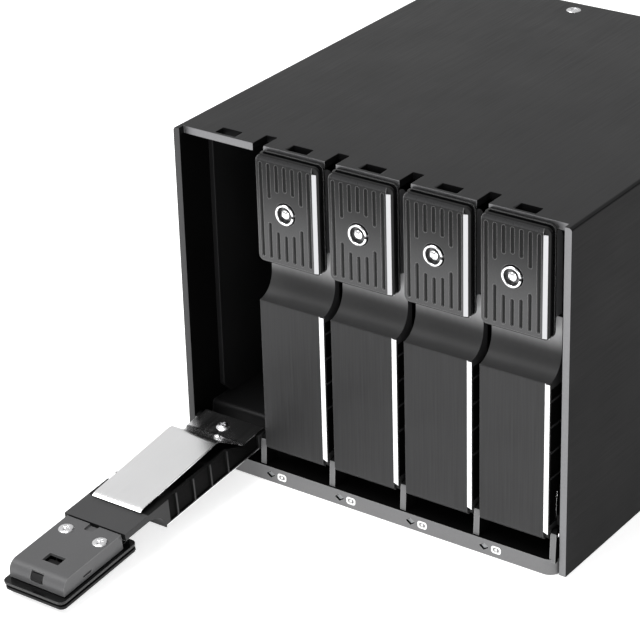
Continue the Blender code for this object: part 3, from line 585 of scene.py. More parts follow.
TOP_SETBACK = 0.0024
NOTCH_WIDTH = 0.004
NOTCH_DEPTH = 0.010
SLOT_HALF_WIDTH = 0.00375
SLOT_START = 0.0036
SLOT_END = 0.0078
MOUNT_HOLE_RADIUS = 0.0013
MOUNT_HOLE_DEPTHS = (0.052, 0.1312)
MOUNT_HOLE_HEIGHTS = (0.0187, 0.0593, 0.0999)
TOP_EDGE_RADIUS = 0.0012
TOP_SCREW_PLACE = (-0.0190, FRONT + 0.158, SLEEVE_HIGH.z)


def sleeve_paint(face):
    """0 on the top; 1 on the sides, a darker copy as painted shade; 2 on cut front edges;
    3 on the left wall's front edge, darker as painted shade; 4 inside, in painted shade.
    """
    if face.normal.y < -0.6 and face.center.y < FRONT + TOP_SETBACK + 0.001:
        return 3 if face.center.x < -INNER_X else 2
    if face.normal.z > 0.6 and face.center.z > INNER_TOP + 0.001:
        return 0
    inner = abs(face.center.x) < INNER_X + 0.0001 and face.center.z < INNER_TOP + 0.0001
    return 4 if inner and abs(face.normal.y) < 0.5 else 1


def make_sleeve():
    side, top = SLEEVE_HIGH.x, SLEEVE_HIGH.z
    outline = [(-INNER_X, 0.0), (-INNER_X, INNER_TOP), (INNER_X, INNER_TOP), (INNER_X, 0.0), (side, 0.0)]
    radius = TOP_EDGE_RADIUS
    outline += arc(side - radius, top - radius, radius, radius, 0, 90, 5)
    outline += arc(radius - side, top - radius, radius, radius, 90, 180, 5) + [(-side, 0.0)]
    sleeve = extruded(outline, "XZ", FRONT, REAR)
    low, high = INNER_TOP - OVER, top + OVER
    edge = box((-INNER_X, FRONT - OVER, low), (INNER_X, FRONT + TOP_SETBACK, high))
    notches = [((x - NOTCH_WIDTH / 2, FRONT + 0.002, low), (x + NOTCH_WIDTH / 2, FRONT + NOTCH_DEPTH, high))
               for x in BOUNDARY_XS]
    slots = [((x - SLOT_HALF_WIDTH, FRONT + SLOT_START, low), (x + SLOT_HALF_WIDTH, FRONT + SLOT_END, high))
             for x in BAY_XS]
    holes = [((sign * (side + OVER), FRONT + depth, z), (sign * (INNER_X - OVER), FRONT + depth, z),
              MOUNT_HOLE_RADIUS)
             for sign in (-1, 1) for depth in MOUNT_HOLE_DEPTHS for z in MOUNT_HOLE_HEIGHTS]
    cut(sleeve, edge, boxes(notches), boxes(slots), rods(holes, 20))
    on_cage("sleeve_shell", "brushed_black", sleeve, SLEEVE_TOP, SLEEVE_SIDE_SHADE, CUT_EDGE, LEFT_EDGE_SHADE, SHADE_BLACK,
            node="sleeve", bevel=0.00025, choose=sleeve_paint)
    place(screw_mesh(0.0026, 0.0005, SCREW), "top_screw", "cage", "black_steel", shift(TOP_SCREW_PLACE))


# ---- floor, sill and rod

SILL_TOP = 0.0055
SILL_RADIUS = 0.004
LUG_WIDTH = 0.0021
LUG_CLEARANCE = 0.0005
BARREL_RADIUS = 0.0022
ROD_HOLE_RADIUS = 0.0013
DIAMOND_OFFSET = -0.0104
DIAMOND_HALF_WIDTH = 0.0018
DIAMOND_HALF_HEIGHT = 0.0013
ICON_OFFSET = -0.0059


def diamond(x, half_width, half_height, z=SILL_TOP / 2):
    return [(x - half_width, z), (x, z - half_height), (x + half_width, z), (x, z + half_height)]


def lug(x):
    """A finger that stands on the sill; its top narrows to a blunt point above the hinge rod."""
    outline = [(HINGE.y + 0.0037, SILL_TOP - OVER), (HINGE.y - 0.0027, SILL_TOP - OVER)]
    outline += arc(HINGE.y, HINGE.z, BARREL_RADIUS, BARREL_RADIUS, 180, 0, 14)
    finger = extruded(outline, "YZ", -LUG_WIDTH / 2, LUG_WIDTH / 2)
    for vert in finger.data.vertices:
        above = max(vert.co.z - HINGE.z, 0.0) / BARREL_RADIUS
        vert.co.x *= 1.0 - 0.45 * above ** 2
        vert.co.x += x
    return finger


def lug_positions():
    outer = BAY_XS[-1] + DOOR_HIGH.x + LUG_CLEARANCE + LUG_WIDTH / 2
    return [-outer] + BOUNDARY_XS + [outer]


def sill_paint(face):
    """0, grey, on what looks to the front; 1, near-black painted shade, on the top, the back and the fingers'
    sides.
    """
    return 1 if face.normal.z > 0.5 or face.normal.y > -0.2 else 0


def make_sill():
    width, front, back = SILL_HIGH.x, SILL_LOW.y, SILL_HIGH.y
    outline = [(width, back), (-width, back)]
    outline += arc(SILL_RADIUS - width, front + SILL_RADIUS, SILL_RADIUS, SILL_RADIUS, 180, 270, 8)
    outline += arc(width - SILL_RADIUS, front + SILL_RADIUS, SILL_RADIUS, SILL_RADIUS, 270, 360, 8)
    sill = extruded(outline, "XY", 0.0, SILL_TOP)
    cut(sill, box((-0.0685, FRONT + 0.001, -OVER), (0.0685, FRONT + 0.0065, 0.0038)))
    join(sill, *[lug(x) for x in lug_positions()])
    windows = [extruded(diamond(x + DIAMOND_OFFSET, DIAMOND_HALF_WIDTH, DIAMOND_HALF_HEIGHT), "XZ",
                        front - OVER, FRONT + 0.002) for x in BAY_XS]
    cut(sill, *windows, rods([((-0.1, HINGE.y, HINGE.z), (0.1, HINGE.y, HINGE.z), ROD_HOLE_RADIUS)]))
    on_cage("sill_bar", "grey_plastic", sill, SILL, SHADE_BLACK, node="front_sill", bevel=0.00018, choose=sill_paint)


def make_sill_marks():
    """A rounded outline with a small square in it beside each light window."""
    face, behind = SILL_LOW.y - 0.00008, SILL_LOW.y + 0.0002
    for bay, x in zip(BAYS, BAY_XS):
        middle = x + ICON_OFFSET
        ring = slab((middle - 0.00175, 0.0015, middle + 0.00175, 0.0041, 0.0009), "XZ", face, behind)
        hole = slab((middle - 0.0011, 0.0021, middle + 0.0011, 0.0035, 0.0005), "XZ",
                    SILL_LOW.y - OVER, SILL_LOW.y + OVER)
        core = slab((middle - 0.0005, 0.0024, middle + 0.0004, 0.0032, 0.0002), "XZ", face, behind)
        on_cage(f"sill_mark_{bay}", "grey_plastic", join(applied(cut(ring, hole)), core), PRINT, bevel=0)


def make_light_pipe():
    low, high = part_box("light_pipe")
    strip = box((low.x, FRONT + 0.0013, low.z), (high.x, high.y, high.z))
    tips = [extruded(diamond(x + DIAMOND_OFFSET, DIAMOND_HALF_WIDTH - 0.0004, DIAMOND_HALF_HEIGHT - 0.0003),
                     "XZ", low.y, FRONT + 0.002) for x in BAY_XS]
    on_cage("light_guide", "clear_plastic", join(strip, *tips), CLEAR, node="light_pipe", bevel=0.00012)


def make_hinge_rod():
    low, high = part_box("hinge_rod")
    radius, half = (high.z - low.z) / 2, high.x
    tip, slope = radius * 0.7, half - radius * 0.4
    profile = [(0.0, -half), (tip, -half), (radius, -slope), (radius, slope), (tip, half), (0.0, half)]
    rod = transformed(turned(profile, 24), shift(HINGE) @ turn(90, "Y"))
    on_cage("hinge_pin", "bright_steel", rod, SPRING, node="hinge_rod", bevel=0)


def make_drive_floor():
    """The folded plate that the drives stand on; its front drops in two steps to a lip."""
    half_sheet = 0.0007
    lip_y, riser_y = FLOOR_LOW.y + half_sheet, FLOOR_LOW.y + 0.0017
    step, top = FLOOR_HIGH.z - 0.0048 - half_sheet, FLOOR_HIGH.z - half_sheet
    centre = [(lip_y, FLOOR_LOW.z), (lip_y, step), (riser_y, step), (riser_y, top), (FLOOR_HIGH.y, top)]
    path = rounded_path(centre, (0.0003, 0.0003, 0.0009), 4)
    outline = offset_path(path, half_sheet) + offset_path(path, -half_sheet)[::-1]
    plate = extruded(outline, "YZ", FLOOR_LOW.x, FLOOR_HIGH.x)
    on_cage("drive_shelf", "black_steel", plate, STEEL_BLACK, node="drive_floor")


def make_bottom_plate():
    low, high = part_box("bottom_plate")
    plate = slab((low.x, low.y, high.x, high.y, 0.002), "XY", low.z, high.z)
    vents = [slab((x - 0.008, y, x + 0.008, y + 0.003, 0.0014), "XY", -OVER, 0.003)
             for x in BAY_XS[1:4] for y in (0.0, 0.008, 0.016)]
    on_cage("base_plate", "black_steel", cut(plate, *vents), STEEL_BLACK, node="bottom_plate")


# ---- dividers and guides


def divider_mesh(low, high):
    """A thin sheet with sloping lead-in corners and round holes."""
    lead = 0.004
    outline = [(high.y, low.z), (high.y, high.z), (low.y + lead, high.z), (low.y, high.z - lead),
               (low.y, low.z + lead), (low.y + lead, low.z)]
    sheet = extruded(outline, "YZ", low.x, high.x)
    holes = [((low.x - OVER, y, z), (high.x + OVER, y, z), 0.0045)
             for y in (-0.03, 0.0, 0.03) for z in (0.040, 0.090)]
    return shaped(cut(sheet, rods(holes, 28)), STEEL_BLACK, bevel=0.00025)


def make_dividers():
    names = [(f"divider_{index}", f"bay_divider_{index}") for index in range(1, 5)]
    names += [(f"guide_{side}", f"side_guide_{side}") for side in ("left", "right")]
    for name, node in names:
        place(divider_mesh(*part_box(node)), name, "cage", "black_steel", replaced=[node])


# ---- door body and skin

SHEET = 0.0008                  # thickness of the skin over the moulding
PANEL_TOP = 0.0529
NECK_HEIGHT = 0.0080
NECK_FRONT = 0.0038
HEEL_BACK = 0.0026
HEEL_TOP = 0.0110
HEEL_RADIUS = 0.0024
CHANNEL_INNER_X = 0.0106
SIDE_POCKET_X = 0.0117
FLANGE_FRONT = -0.0006
FLANGE_BACK = 0.0002
WEB_HALF_WIDTH = 0.0090
CORNER_RADIUS = 0.002
RIB_PITCH = 0.0089
RIB_FIRST = 0.0197
RIB_WIDTH = 0.0008
RIB_COUNT = 4
HEAD_MIDDLE = (PLATE_LOW.z + PLATE_HIGH.z) / 2
LOCK_X = joint(f"lock_turn_{MIDDLE_BAY}")["pos_m"][0] - HINGE.x
POST_PLACES = ((-0.0075, PLATE_LOW.z + 0.0088), (0.0075, PLATE_HIGH.z - 0.0080))
POST_RADIUS = 0.0015
LOCK_RADIUS = LOCK_HIGH.z - HEAD_MIDDLE
LOCK_HOLE_RADIUS = LOCK_RADIUS + 0.00035
SKIN_Y = PLATE_LOW.y
CHANNEL_FLOOR = SKIN_Y + 0.0012
STRIP_WIDTH = 0.0014
HEAD_STRIP_WIDTH = 0.0021
STRIP_SLOPE = 0.3               # how far the chamfer runs back for each unit across
SKIN_SIDE_X = DOOR_HIGH.x - 0.0001
SPRING_TOP = SPRING_HIGH.z - 0.001      # the neck's back is lighter above this height


def body_paint(face):
    """0 moulding, 1 curved front in painted light, 2 flange, 3 side ribs, 4 pockets and channel in painted
    shade, 5 back of the neck.
    """
    middle, normal = face.center, face.normal
    if middle.y < NECK_FRONT + 0.0006 and middle.z > PANEL_TOP - 0.0005:
        if middle.y < FLANGE_BACK + 0.0004 and middle.z > PLATE_LOW.z:
            return 2
        if normal.y < -0.2 or normal.z > 0.5:
            return 1
    if normal.y > 0.7 and middle.z > SPRING_TOP:
        return 5
    if abs(normal.x) > 0.5:
        return 3 if abs(middle.x) > DOOR_HIGH.x - 0.0003 else 4
    return 0


def door_body_mesh():
    web_front, web_bottom = FLANGE_FRONT + GAP, PLATE_LOW.z + GAP
    front, half = SKIN_Y + SHEET, DOOR_HIGH.x
    outline = [(front, PANEL_TOP - 0.0004), (SKIN_Y, PANEL_TOP - 0.0004)]
    outline += arc(SKIN_Y, PANEL_TOP + NECK_HEIGHT, NECK_FRONT - SKIN_Y, NECK_HEIGHT, -90, 0, 14)
    outline += [(NECK_FRONT, COVER_LOW.z - GAP), (DOOR_HIGH.y, COVER_LOW.z - GAP), (DOOR_HIGH.y, SPRING_TOP),
                (DOOR_HIGH.y, HEEL_TOP + 0.0085), (HEEL_BACK, HEEL_TOP), (HEEL_BACK, -0.0012)]
    outline += arc(0.0, 0.0, -front, HEEL_RADIUS - 0.0004, -90, -180, 10)
    body = extruded(outline, "YZ", -half, half)
    width = PLATE_HIGH.x + 0.0002
    flange = slab((-width, PLATE_LOW.z + 0.0001, width, PLATE_HIGH.z + 0.0003, CORNER_RADIUS), "XZ",
                  FLANGE_FRONT, FLANGE_BACK)
    web = box((-WEB_HALF_WIDTH, web_front, web_bottom),
              (WEB_HALF_WIDTH, NECK_FRONT + OVER, COVER_LOW.z - 2 * GAP))
    holes = [(LOCK_X, HEAD_MIDDLE, LOCK_HOLE_RADIUS)]
    holes += [(x, z, POST_RADIUS + GAP) for x, z in POST_PLACES]
    bores = pegs(holes, -OVER, 0.007, 32)
    barrel = rods([((-0.02, 0, 0), (0.02, 0, 0), ROD_HOLE_RADIUS)])
    cut(join(body, flange, web), boxes(channel_hollows()), boxes(side_pockets()), bores, barrel)
    return shaped(body, MOULDED, SCOOP_PAINTED_LIGHT, GLOSS, RIB, SHADE_BLACK, NECK_BACK, bevel=0.00022, choose=body_paint)


def channel_hollows():
    """The two hollows of the channel, with a cross rib between them."""
    rib = RIB_FIRST + RIB_PITCH
    return [((-CHANNEL_INNER_X, CHANNEL_FLOOR, low), (CHANNEL_INNER_X, DOOR_HIGH.y + OVER, high))
            for low, high in ((0.0050, rib - RIB_WIDTH), (rib + RIB_WIDTH, PANEL_TOP - 0.0020))]


def side_pockets():
    """Shallow pockets in both sides of the channel, which leave the side ribs between them."""
    edges = [0.003] + [RIB_FIRST + i * RIB_PITCH for i in range(RIB_COUNT)] + [PANEL_TOP - 0.002]
    pairs = []
    for sign in (-1, 1):
        inner, outer = sorted((sign * SIDE_POCKET_X, sign * (DOOR_HIGH.x + OVER)))
        for low, high in zip(edges, edges[1:]):
            pairs.append(((inner, CHANNEL_FLOOR, low + RIB_WIDTH / 2),
                          (outer, DOOR_HIGH.y + OVER, high - RIB_WIDTH / 2)))
    return pairs


def door_skin_mesh():
    """A thin sheet bent round the heel, up to the crease; it ends where the bright strip starts."""
    points = arc(0.0, 0.0, -SKIN_Y, HEEL_RADIUS, -125, -180, 8)
    path = [Vector(p) for p in points + [(SKIN_Y, PANEL_TOP * t) for t in (0.25, 0.5, 0.75, 1.0)]]
    skin = extruded(path + offset_path(path, -SHEET)[::-1], "YZ", -SKIN_SIDE_X, SKIN_SIDE_X - STRIP_WIDTH)
    return shaped(skin, SKIN, bevel=0.00012)


def strip_mesh(low_z, high_z, outer_x, width, point, material):
    """A bright sloping strip on the right edge; its lower end may run out to a point."""
    inner = outer_x - width
    section = [(inner, SKIN_Y - 0.00005), (outer_x, SKIN_Y + width * STRIP_SLOPE), (outer_x, SKIN_Y + SHEET),
               (inner, SKIN_Y + SHEET)]
    strip = extruded(section, "XY", low_z, high_z)
    if point:
        for vert in strip.data.vertices:
            if vert.co.z < low_z + 0.0001 and vert.co.x < inner + 0.0001:
                vert.co.z += point
    return shaped(strip, material, bevel=0.00008)


# ---- head, lock and latch

GROOVE_PITCH = 0.00304
GROOVE_RADIUS = 0.00070
GROOVE_RAISE = 0.0001           # how far the groove tool's axis stands out of the plate's face
GROOVE_MARGIN = 0.0012
ROLL_HEIGHT = 0.0023            # the top of the inlay rolls back over this height
ROLL_DEPTH = 0.0005
RIM = 0.0006                    # the carrier's edge that shows below the inlay
INLAY_SIDE_X = PLATE_HIGH.x - 0.0003
LOCK_CLEAR_RADIUS = 0.0073      # the grooves stop at this distance from the lock
LOCK_ROUND = 0.0004
PIN_RADIUS = 0.0015
PLATE_BACK = -0.0016


def grooves():
    """Seven upright round-ended channels; the middle five stop short of the lock."""
    low, high = PLATE_LOW.z + RIM + GROOVE_MARGIN, PLATE_HIGH.z - ROLL_HEIGHT
    tools = []
    for column in range(-3, 4):
        offset = column * GROOVE_PITCH
        spans = [(low, high)]
        if abs(offset) < LOCK_CLEAR_RADIUS:
            reach = math.sqrt(LOCK_CLEAR_RADIUS ** 2 - offset ** 2)
            spans = [(low, HEAD_MIDDLE - reach), (HEAD_MIDDLE + reach, high)]
        for start, end in spans:
            tool = as_object("groove", capsule(GROOVE_RADIUS, start, end))
            tools.append(transformed(tool, shift((LOCK_X + offset, SKIN_Y - GROOVE_RAISE, 0))))
    return tools


def lock_bore():
    return pegs([(LOCK_X, HEAD_MIDDLE, LOCK_HOLE_RADIUS)], SKIN_Y - 0.01, 0.01, 40)


def carrier_mesh():
    """The black plate that holds the inlay, with the posts behind it."""
    half = PLATE_HIGH.x
    plate = slab((-half, PLATE_LOW.z, half, PLATE_HIGH.z, CORNER_RADIUS), "XZ",
                 SKIN_Y + SHEET / 2, PLATE_BACK)
    posts = pegs([(x, z, POST_RADIUS) for x, z in POST_PLACES], PLATE_BACK - 0.0005, PLATE_HIGH.y)
    return shaped(cut(join(plate, posts), lock_bore()), MOULDED, bevel=0.0003)


def inlay_paint(face):
    """0 on the flat face, 1 where the top rolls back, painted darker as shade."""
    return 1 if face.center.z > PLATE_HIGH.z - ROLL_HEIGHT * 0.75 else 0


def inlay_mesh():
    """The grooved satin face; its top rolls back, in painted shade, to a painted-highlight edge; its left
    corners are round.
    """
    left, right, top = -INLAY_SIDE_X, INLAY_SIDE_X - HEAD_STRIP_WIDTH, PLATE_HIGH.z - 0.0001
    low, back = PLATE_LOW.z + RIM, SKIN_Y + SHEET
    outline = [(back, low), (SKIN_Y, low), (SKIN_Y, top - ROLL_HEIGHT)]
    outline += [(SKIN_Y + ROLL_DEPTH * t ** 2, top - ROLL_HEIGHT * (1 - t)) for t in (0.25, 0.5, 0.75, 1.0)]
    inlay = extruded(outline + [(back, top)], "YZ", left, right)
    corners = slab((left, low, right + 0.01, top, CORNER_RADIUS - 0.0002), "XZ", -0.01, 0.01)
    combine(inlay, "INTERSECT", corners)
    cut(applied(inlay), lock_bore(), *grooves())
    return shaped(inlay, HEAD_SATIN_SHADED, HEAD_ROLL_SHADE, bevel=0.0001, choose=inlay_paint)


def lock_paint(face):
    """1, a darker metal as painted shade, in the ring recess and the key notch; 0 on the bright rim and pin.
    """
    radius = math.hypot(face.center.x, face.center.z)
    sunk = face.center.y > LOCK_LOW.y + 0.0005
    return 1 if sunk and PIN_RADIUS + 0.00005 < radius < LOCK_RADIUS - LOCK_ROUND else 0


def lock_mesh():
    """The bright cylinder: a round rim, a ring recess, a domed pin and a key notch; origin on its axis."""
    depth, barrel = LOCK_HIGH.y - LOCK_LOW.y, LOCK_RADIUS - 0.0002
    profile = [(0.0, -depth), (barrel, -depth), (barrel, -0.0010), (LOCK_RADIUS, -2 * LOCK_ROUND)]
    profile += arc(LOCK_RADIUS - LOCK_ROUND, -LOCK_ROUND, LOCK_ROUND, LOCK_ROUND, 0, 90, 5)
    profile += arc(0.0030, -0.0003, 0.0003, 0.0003, 90, 180, 5)
    profile += [(0.0026, -0.0015), (PIN_RADIUS + 0.0001, -0.0015), (PIN_RADIUS, -0.0007)]
    profile += arc(0.0, -0.0009, PIN_RADIUS, 0.0007, 15, 90, 6)
    profile[-1] = (0.0, profile[-1][1])
    notch = box((0.0020, -0.0005, -0.0016), (LOCK_RADIUS + OVER, 0.0005, 0.001))
    cylinder = cut(turned(profile, 48), notch)
    cam = slab((-0.0070, -0.0024, 0.0030, 0.0024, 0.0022), "XY", -depth, 0.0012 - depth)
    cylinder = transformed(applied(join(cylinder, cam)), shift((0, LOCK_LOW.y, 0)) @ FACE_FRONT)
    return shaped(cylinder, CHROME, LOCK_RECESS_SHADE, bevel=0.00006, segments=1, choose=lock_paint)


def bolt_mesh():
    """The sliding bolt: a bar whose upper end is sloped like a latch's nose."""
    low, high = BOLT_LOW, BOLT_HIGH
    outline = [(low.y, low.z), (high.y, low.z), (high.y, high.z - 0.0014), (high.y - 0.0012, high.z),
               (low.y, high.z)]
    return shaped(extruded(outline, "YZ", low.x, high.x), STEEL_BLACK)


COVER_RADIUS = 0.0035
COVER_WALL = 0.0010
COVER_SCREWS = ((-0.0065, 0.0783), (0.0076, 0.0788))
WINDOW = ((-0.0026, 0.0905), (0.0038, 0.0945))


def cover_mesh():
    """The box behind the head with a round far edge, a window, a slot and a mouth for the bolt."""
    low, high = COVER_LOW, COVER_HIGH
    inner = high.x - COVER_WALL
    outline = [(low.y, low.z), (high.y, low.z)]
    outline += arc(high.y - COVER_RADIUS, high.z - COVER_RADIUS, COVER_RADIUS, COVER_RADIUS, 0, 90, 10)
    outline += [(low.y, high.z)]
    cover = extruded(outline, "YZ", low.x, high.x)
    hollow = box((-inner, low.y - OVER, low.z + COVER_WALL), (inner, high.y - COVER_WALL, high.z - 0.0022))
    mouth_low, mouth_high = BOLT_LOW.x - GAP, BOLT_HIGH.x + GAP
    mouth = box((mouth_low, BOLT_LOW.y - GAP, high.z - 0.004), (mouth_high, BOLT_HIGH.y + GAP, high.z + OVER))
    nose = box((mouth_low, BOLT_LOW.y, high.z - 0.0016), (mouth_high, high.y + OVER, high.z + OVER))
    (left, bottom), (right, top) = WINDOW
    window = box((left, high.y - 0.002, bottom), (right, high.y + OVER, top))
    slot = slab((-0.0016, low.z - OVER, 0.0022, low.z + 0.0034, 0.0008), "XZ", high.y - 0.0008, high.y + OVER)
    slits = boxes([((x - 0.0006, low.y + 0.0012, low.z + 0.0150),
                    (x + 0.0006, low.y + 0.0020, low.z + 0.0190)) for x in (-high.x, high.x)])
    cut(cover, hollow, mouth, nose, window, slot, slits)
    return shaped(cover, COVER, bevel=0.0003)


# ---- spring

SPRING_SHEET = 0.0005
SPRING_SCREW_Z = 0.0053
BLADE_HALF_WIDTH = 0.0098
CREST = (0.0092, 0.0205)
BLADE_TIP_Z = 0.0600


def spring_half_width(z):
    """Full width at the base, narrowing up the ramp to the blade's width."""
    start, end = HEEL_TOP - 0.0005, CREST[1] - 0.0030
    t = min(max((z - start) / (end - start), 0.0), 1.0)
    return SPRING_HIGH.x + (BLADE_HALF_WIDTH - SPRING_HIGH.x) * t * t * (3 - 2 * t)


def spring_mesh():
    base, tip = SPRING_LOW.y, DOOR_HIGH.y + 0.0010
    corners = [(base, SPRING_LOW.z + 0.0004), (base, HEEL_TOP - 0.0002), CREST, (tip, BLADE_TIP_Z),
               (DOOR_HIGH.y + GAP, BLADE_TIP_Z + 0.0012)]
    spine = rounded_path(corners, (0.0012, 0.0016, 0.0010), 6)
    spine = [p for a, b in zip(spine, spine[1:]) for p in (a, (a + b) / 2)] + [spine[-1]]
    strip = extruded(spine + offset_path(spine, -SPRING_SHEET)[::-1], "YZ", -1.0, 1.0)
    for vert in strip.data.vertices:
        vert.co.x *= spring_half_width(vert.co.z)
    cut(strip, pegs([(0, SPRING_SCREW_Z, 0.0012)], 0.0, 0.006))
    return shaped(strip, SPRING, bevel=0.00012)


def rivet_mesh():
    crown = arc(0, 0.0001, 0.0013, 0.0006, 0, 90, 5)[:-1]
    return shaped(turned([(0.0, 0.0), (0.0013, 0.0)] + crown + [(0.0, 0.0007)], 20), SCREW, bevel=0)


# ---- hanging the doors


def door_pieces():
    """Every piece of a door: name, mesh, slot, body, place in the door's frame, and its node."""
    here = Matrix.Identity(4)
    at_lock = shift((LOCK_X, 0, HEAD_MIDDLE))
    at_base = shift((-0.0005, SPRING_LOW.y + SPRING_SHEET, SPRING_SCREW_Z)) @ FACE_REAR
    on_ramp = shift((0.0030, 0.0046, 0.0130)) @ FACE_REAR @ turn(32, "X")
    screw = screw_mesh(0.0025, 0.0005, SCREW)
    screws = merged([(screw, shift((x, COVER_HIGH.y + 0.0001, z)) @ FACE_REAR) for x, z in COVER_SCREWS])
    door_strip = strip_mesh(0.0004, PANEL_TOP, SKIN_SIDE_X, STRIP_WIDTH, 0.0010, STRIP)
    head_strip = strip_mesh(PLATE_LOW.z + RIM, PLATE_HIGH.z - ROLL_HEIGHT, INLAY_SIDE_X, HEAD_STRIP_WIDTH,
                            0.0, HEAD_STRIP)
    bright, unit, latch = "bright_steel", "door_unit", "latch_unit"
    return (
        ("door_body", door_body_mesh(), "gloss_black_plastic", unit, here, "door"),
        ("door_skin", door_skin_mesh(), "brushed_black", unit, here, None),
        ("door_strip", door_strip, bright, unit, here, None),
        ("leaf_spring", spring_mesh(), bright, unit, here, "door_spring"),
        ("spring_screw", screw_mesh(0.00225, 0.0011, SCREW), bright, unit, at_base, None),
        ("spring_rivet", rivet_mesh(), bright, unit, on_ramp, None),
        ("cover", cover_mesh(), "black_plastic", unit, here, "latch_cover"),
        ("cover_screws", screws, bright, unit, here, None),
        ("carrier", carrier_mesh(), "brushed_black", latch, here, "latch_plate"),
        ("grooved_face", inlay_mesh(), "brushed_black", latch, here, None),
        ("head_strip", head_strip, bright, latch, here, None),
        ("lock", lock_mesh(), "chrome", "lock_unit", at_lock, "lock_cylinder"),
        ("bolt", bolt_mesh(), "black_steel", "bolt_unit", here, "lock_bolt"),
    )


def hang_doors():
    """A set of pieces in each bay; a door that is stored open can turn back by the angle it is open."""
    pieces = door_pieces()
    for bay in BAYS:
        hinge = joint(f"door_hinge_{bay}")
        hung = shift(hinge["pos_m"]) @ turn(-min(hinge["range_deg"][0], 0.0), "X")
        for name, mesh, slot, body, spot, node in pieces:
            replaced = [f"{node}_{bay}"] if node else ()
            place(mesh, f"{name}_{bay}", f"{body}_{bay}", slot, hung @ spot, replaced)


# ---- backplane and rear

SOCKET_TONGUE = 0.0006          # half the tongue's thickness
SOCKET_WALL = 0.0012
PORT_FLOOR = 0.002
PORT_MARGIN = 0.0005


def make_board():
    low, high = BOARD_LOW, BOARD_HIGH
    board = slab((low.x, low.z, high.x, high.z, 0.001), "XZ", low.y, high.y, 3)
    windows = ((-0.005, 0.074, 0.005, 0.100), (0.0025, 0.028, 0.0085, 0.054))
    vents = [((x + left, low.y - OVER, bottom), (x + right, high.y + OVER, top))
             for x in BAY_XS[1:4] for left, bottom, right, top in windows]
    on_cage("backplane", "board_green", cut(board, boxes(vents)), BOARD, node="backplane_board", bevel=0.0001)
    chips = [((x + 0.003, low.y - 0.0012, z), (x + 0.007, low.y - 0.0001, z + 0.004))
             for x in BAY_XS for z in (0.060, 0.105)]
    on_cage("backplane_chips", "black_plastic", boxes(chips), CHIP)


def make_socket(name, node, opening, floor, tongue=True):
    """A connector whose mouth looks along opening (-1 front, +1 rear); returns the node's box."""
    low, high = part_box(node)
    end = SOCKET_WALL * 1.6
    deep_low = (low.x + SOCKET_WALL, low.y + (floor if opening > 0 else -OVER), low.z + end)
    deep_high = (high.x - SOCKET_WALL, high.y + (OVER if opening > 0 else -floor), high.z - end)
    shell = cut(box(low, high), box(deep_low, deep_high))
    if tongue:
        x, foot = (low.x + high.x) / 2, SOCKET_WALL * 3
        join(shell, box((x - SOCKET_TONGUE, low.y + 0.0009, low.z + foot),
                        (x + SOCKET_TONGUE, high.y - 0.0009, high.z - foot)))
    on_cage(name, "black_plastic", shell, MOULDED, node=node)
    return low, high


def contact_row(low, high, count, y_low, y_high):
    """Thin contact strips on the right face of a tongue."""
    pitch = (high.z - low.z) * 0.7 / count
    start = low.z + (high.z - low.z) * 0.15
    near = (low.x + high.x) / 2 + SOCKET_TONGUE
    return [((near, y_low, start + i * pitch), (near + 0.00012, y_high, start + (i + 0.55) * pitch))
            for i in range(count)]


def make_sockets():
    gold = []
    for bay in BAYS:
        low, high = make_socket(f"drive_connector_{bay}", f"drive_socket_{bay}", -1, SOCKET_WALL)
        gold += contact_row(low, high, 22, low.y + 0.0011, low.y + 0.0040)
        low, high = make_socket(f"rear_data_{bay}", f"data_port_{bay}", 1, PORT_FLOOR)
        gold += contact_row(low, high, 7, high.y - 0.0060, high.y - 0.0012)
    for index in (1, 2):
        low, high = make_socket(f"rear_power_{index}", f"power_socket_{index}", 1, PORT_FLOOR, tongue=False)
        x, half = (low.x + high.x) / 2, 0.0011
        gold += [((x - half, low.y + 0.0010, z - half), (x + half, high.y - 0.0020, z + half))
                 for z in [low.z + 0.0036 + 0.0049 * i for i in range(4)]]
    on_cage("contacts", "bright_steel", boxes(gold), GOLD, bevel=0)


MOUNT_SPACING = 0.0715
MOUNT_CORNERS = [(x, FAN_Z + z) for x in (-MOUNT_SPACING / 2, MOUNT_SPACING / 2)
                 for z in (-MOUNT_SPACING / 2, MOUNT_SPACING / 2)]
FAN_BORE_RADIUS = 0.0382
WIRE_RADIUS = 0.00065


def screws_at(name, slot, screw, spots, y):
    """The same screw at each spot, with its top to the rear."""
    place(merged([(screw, shift((x, y, z)) @ FACE_REAR) for x, z in spots]), name, "cage", slot)


def make_rear_panel():
    low, high = PANEL_LOW, PANEL_HIGH
    panel = slab((low.x, low.z, high.x, high.z, 0.0015), "XZ", low.y, high.y, 4)
    openings = []
    for node in [f"data_port_{bay}" for bay in BAYS] + ["power_socket_1", "power_socket_2"]:
        port_low, port_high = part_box(node)
        openings.append(((port_low.x - PORT_MARGIN, low.y - OVER, port_low.z - PORT_MARGIN),
                         (port_high.x + PORT_MARGIN, high.y + OVER, port_high.z + PORT_MARGIN)))
    bore = pegs([(0, FAN_Z, FAN_BORE_RADIUS)], low.y - OVER, high.y + OVER, 64)
    on_cage("rear_plate", "black_steel", cut(panel, boxes(openings), bore), STEEL_BLACK, node="rear_panel")
    spots = [(x, z) for x in (-0.0665, 0.0665) for z in (0.0065, 0.1095)]
    screws_at("rear_screws", "bright_steel", screw_mesh(0.0026, 0.0012, SCREW), spots, high.y)


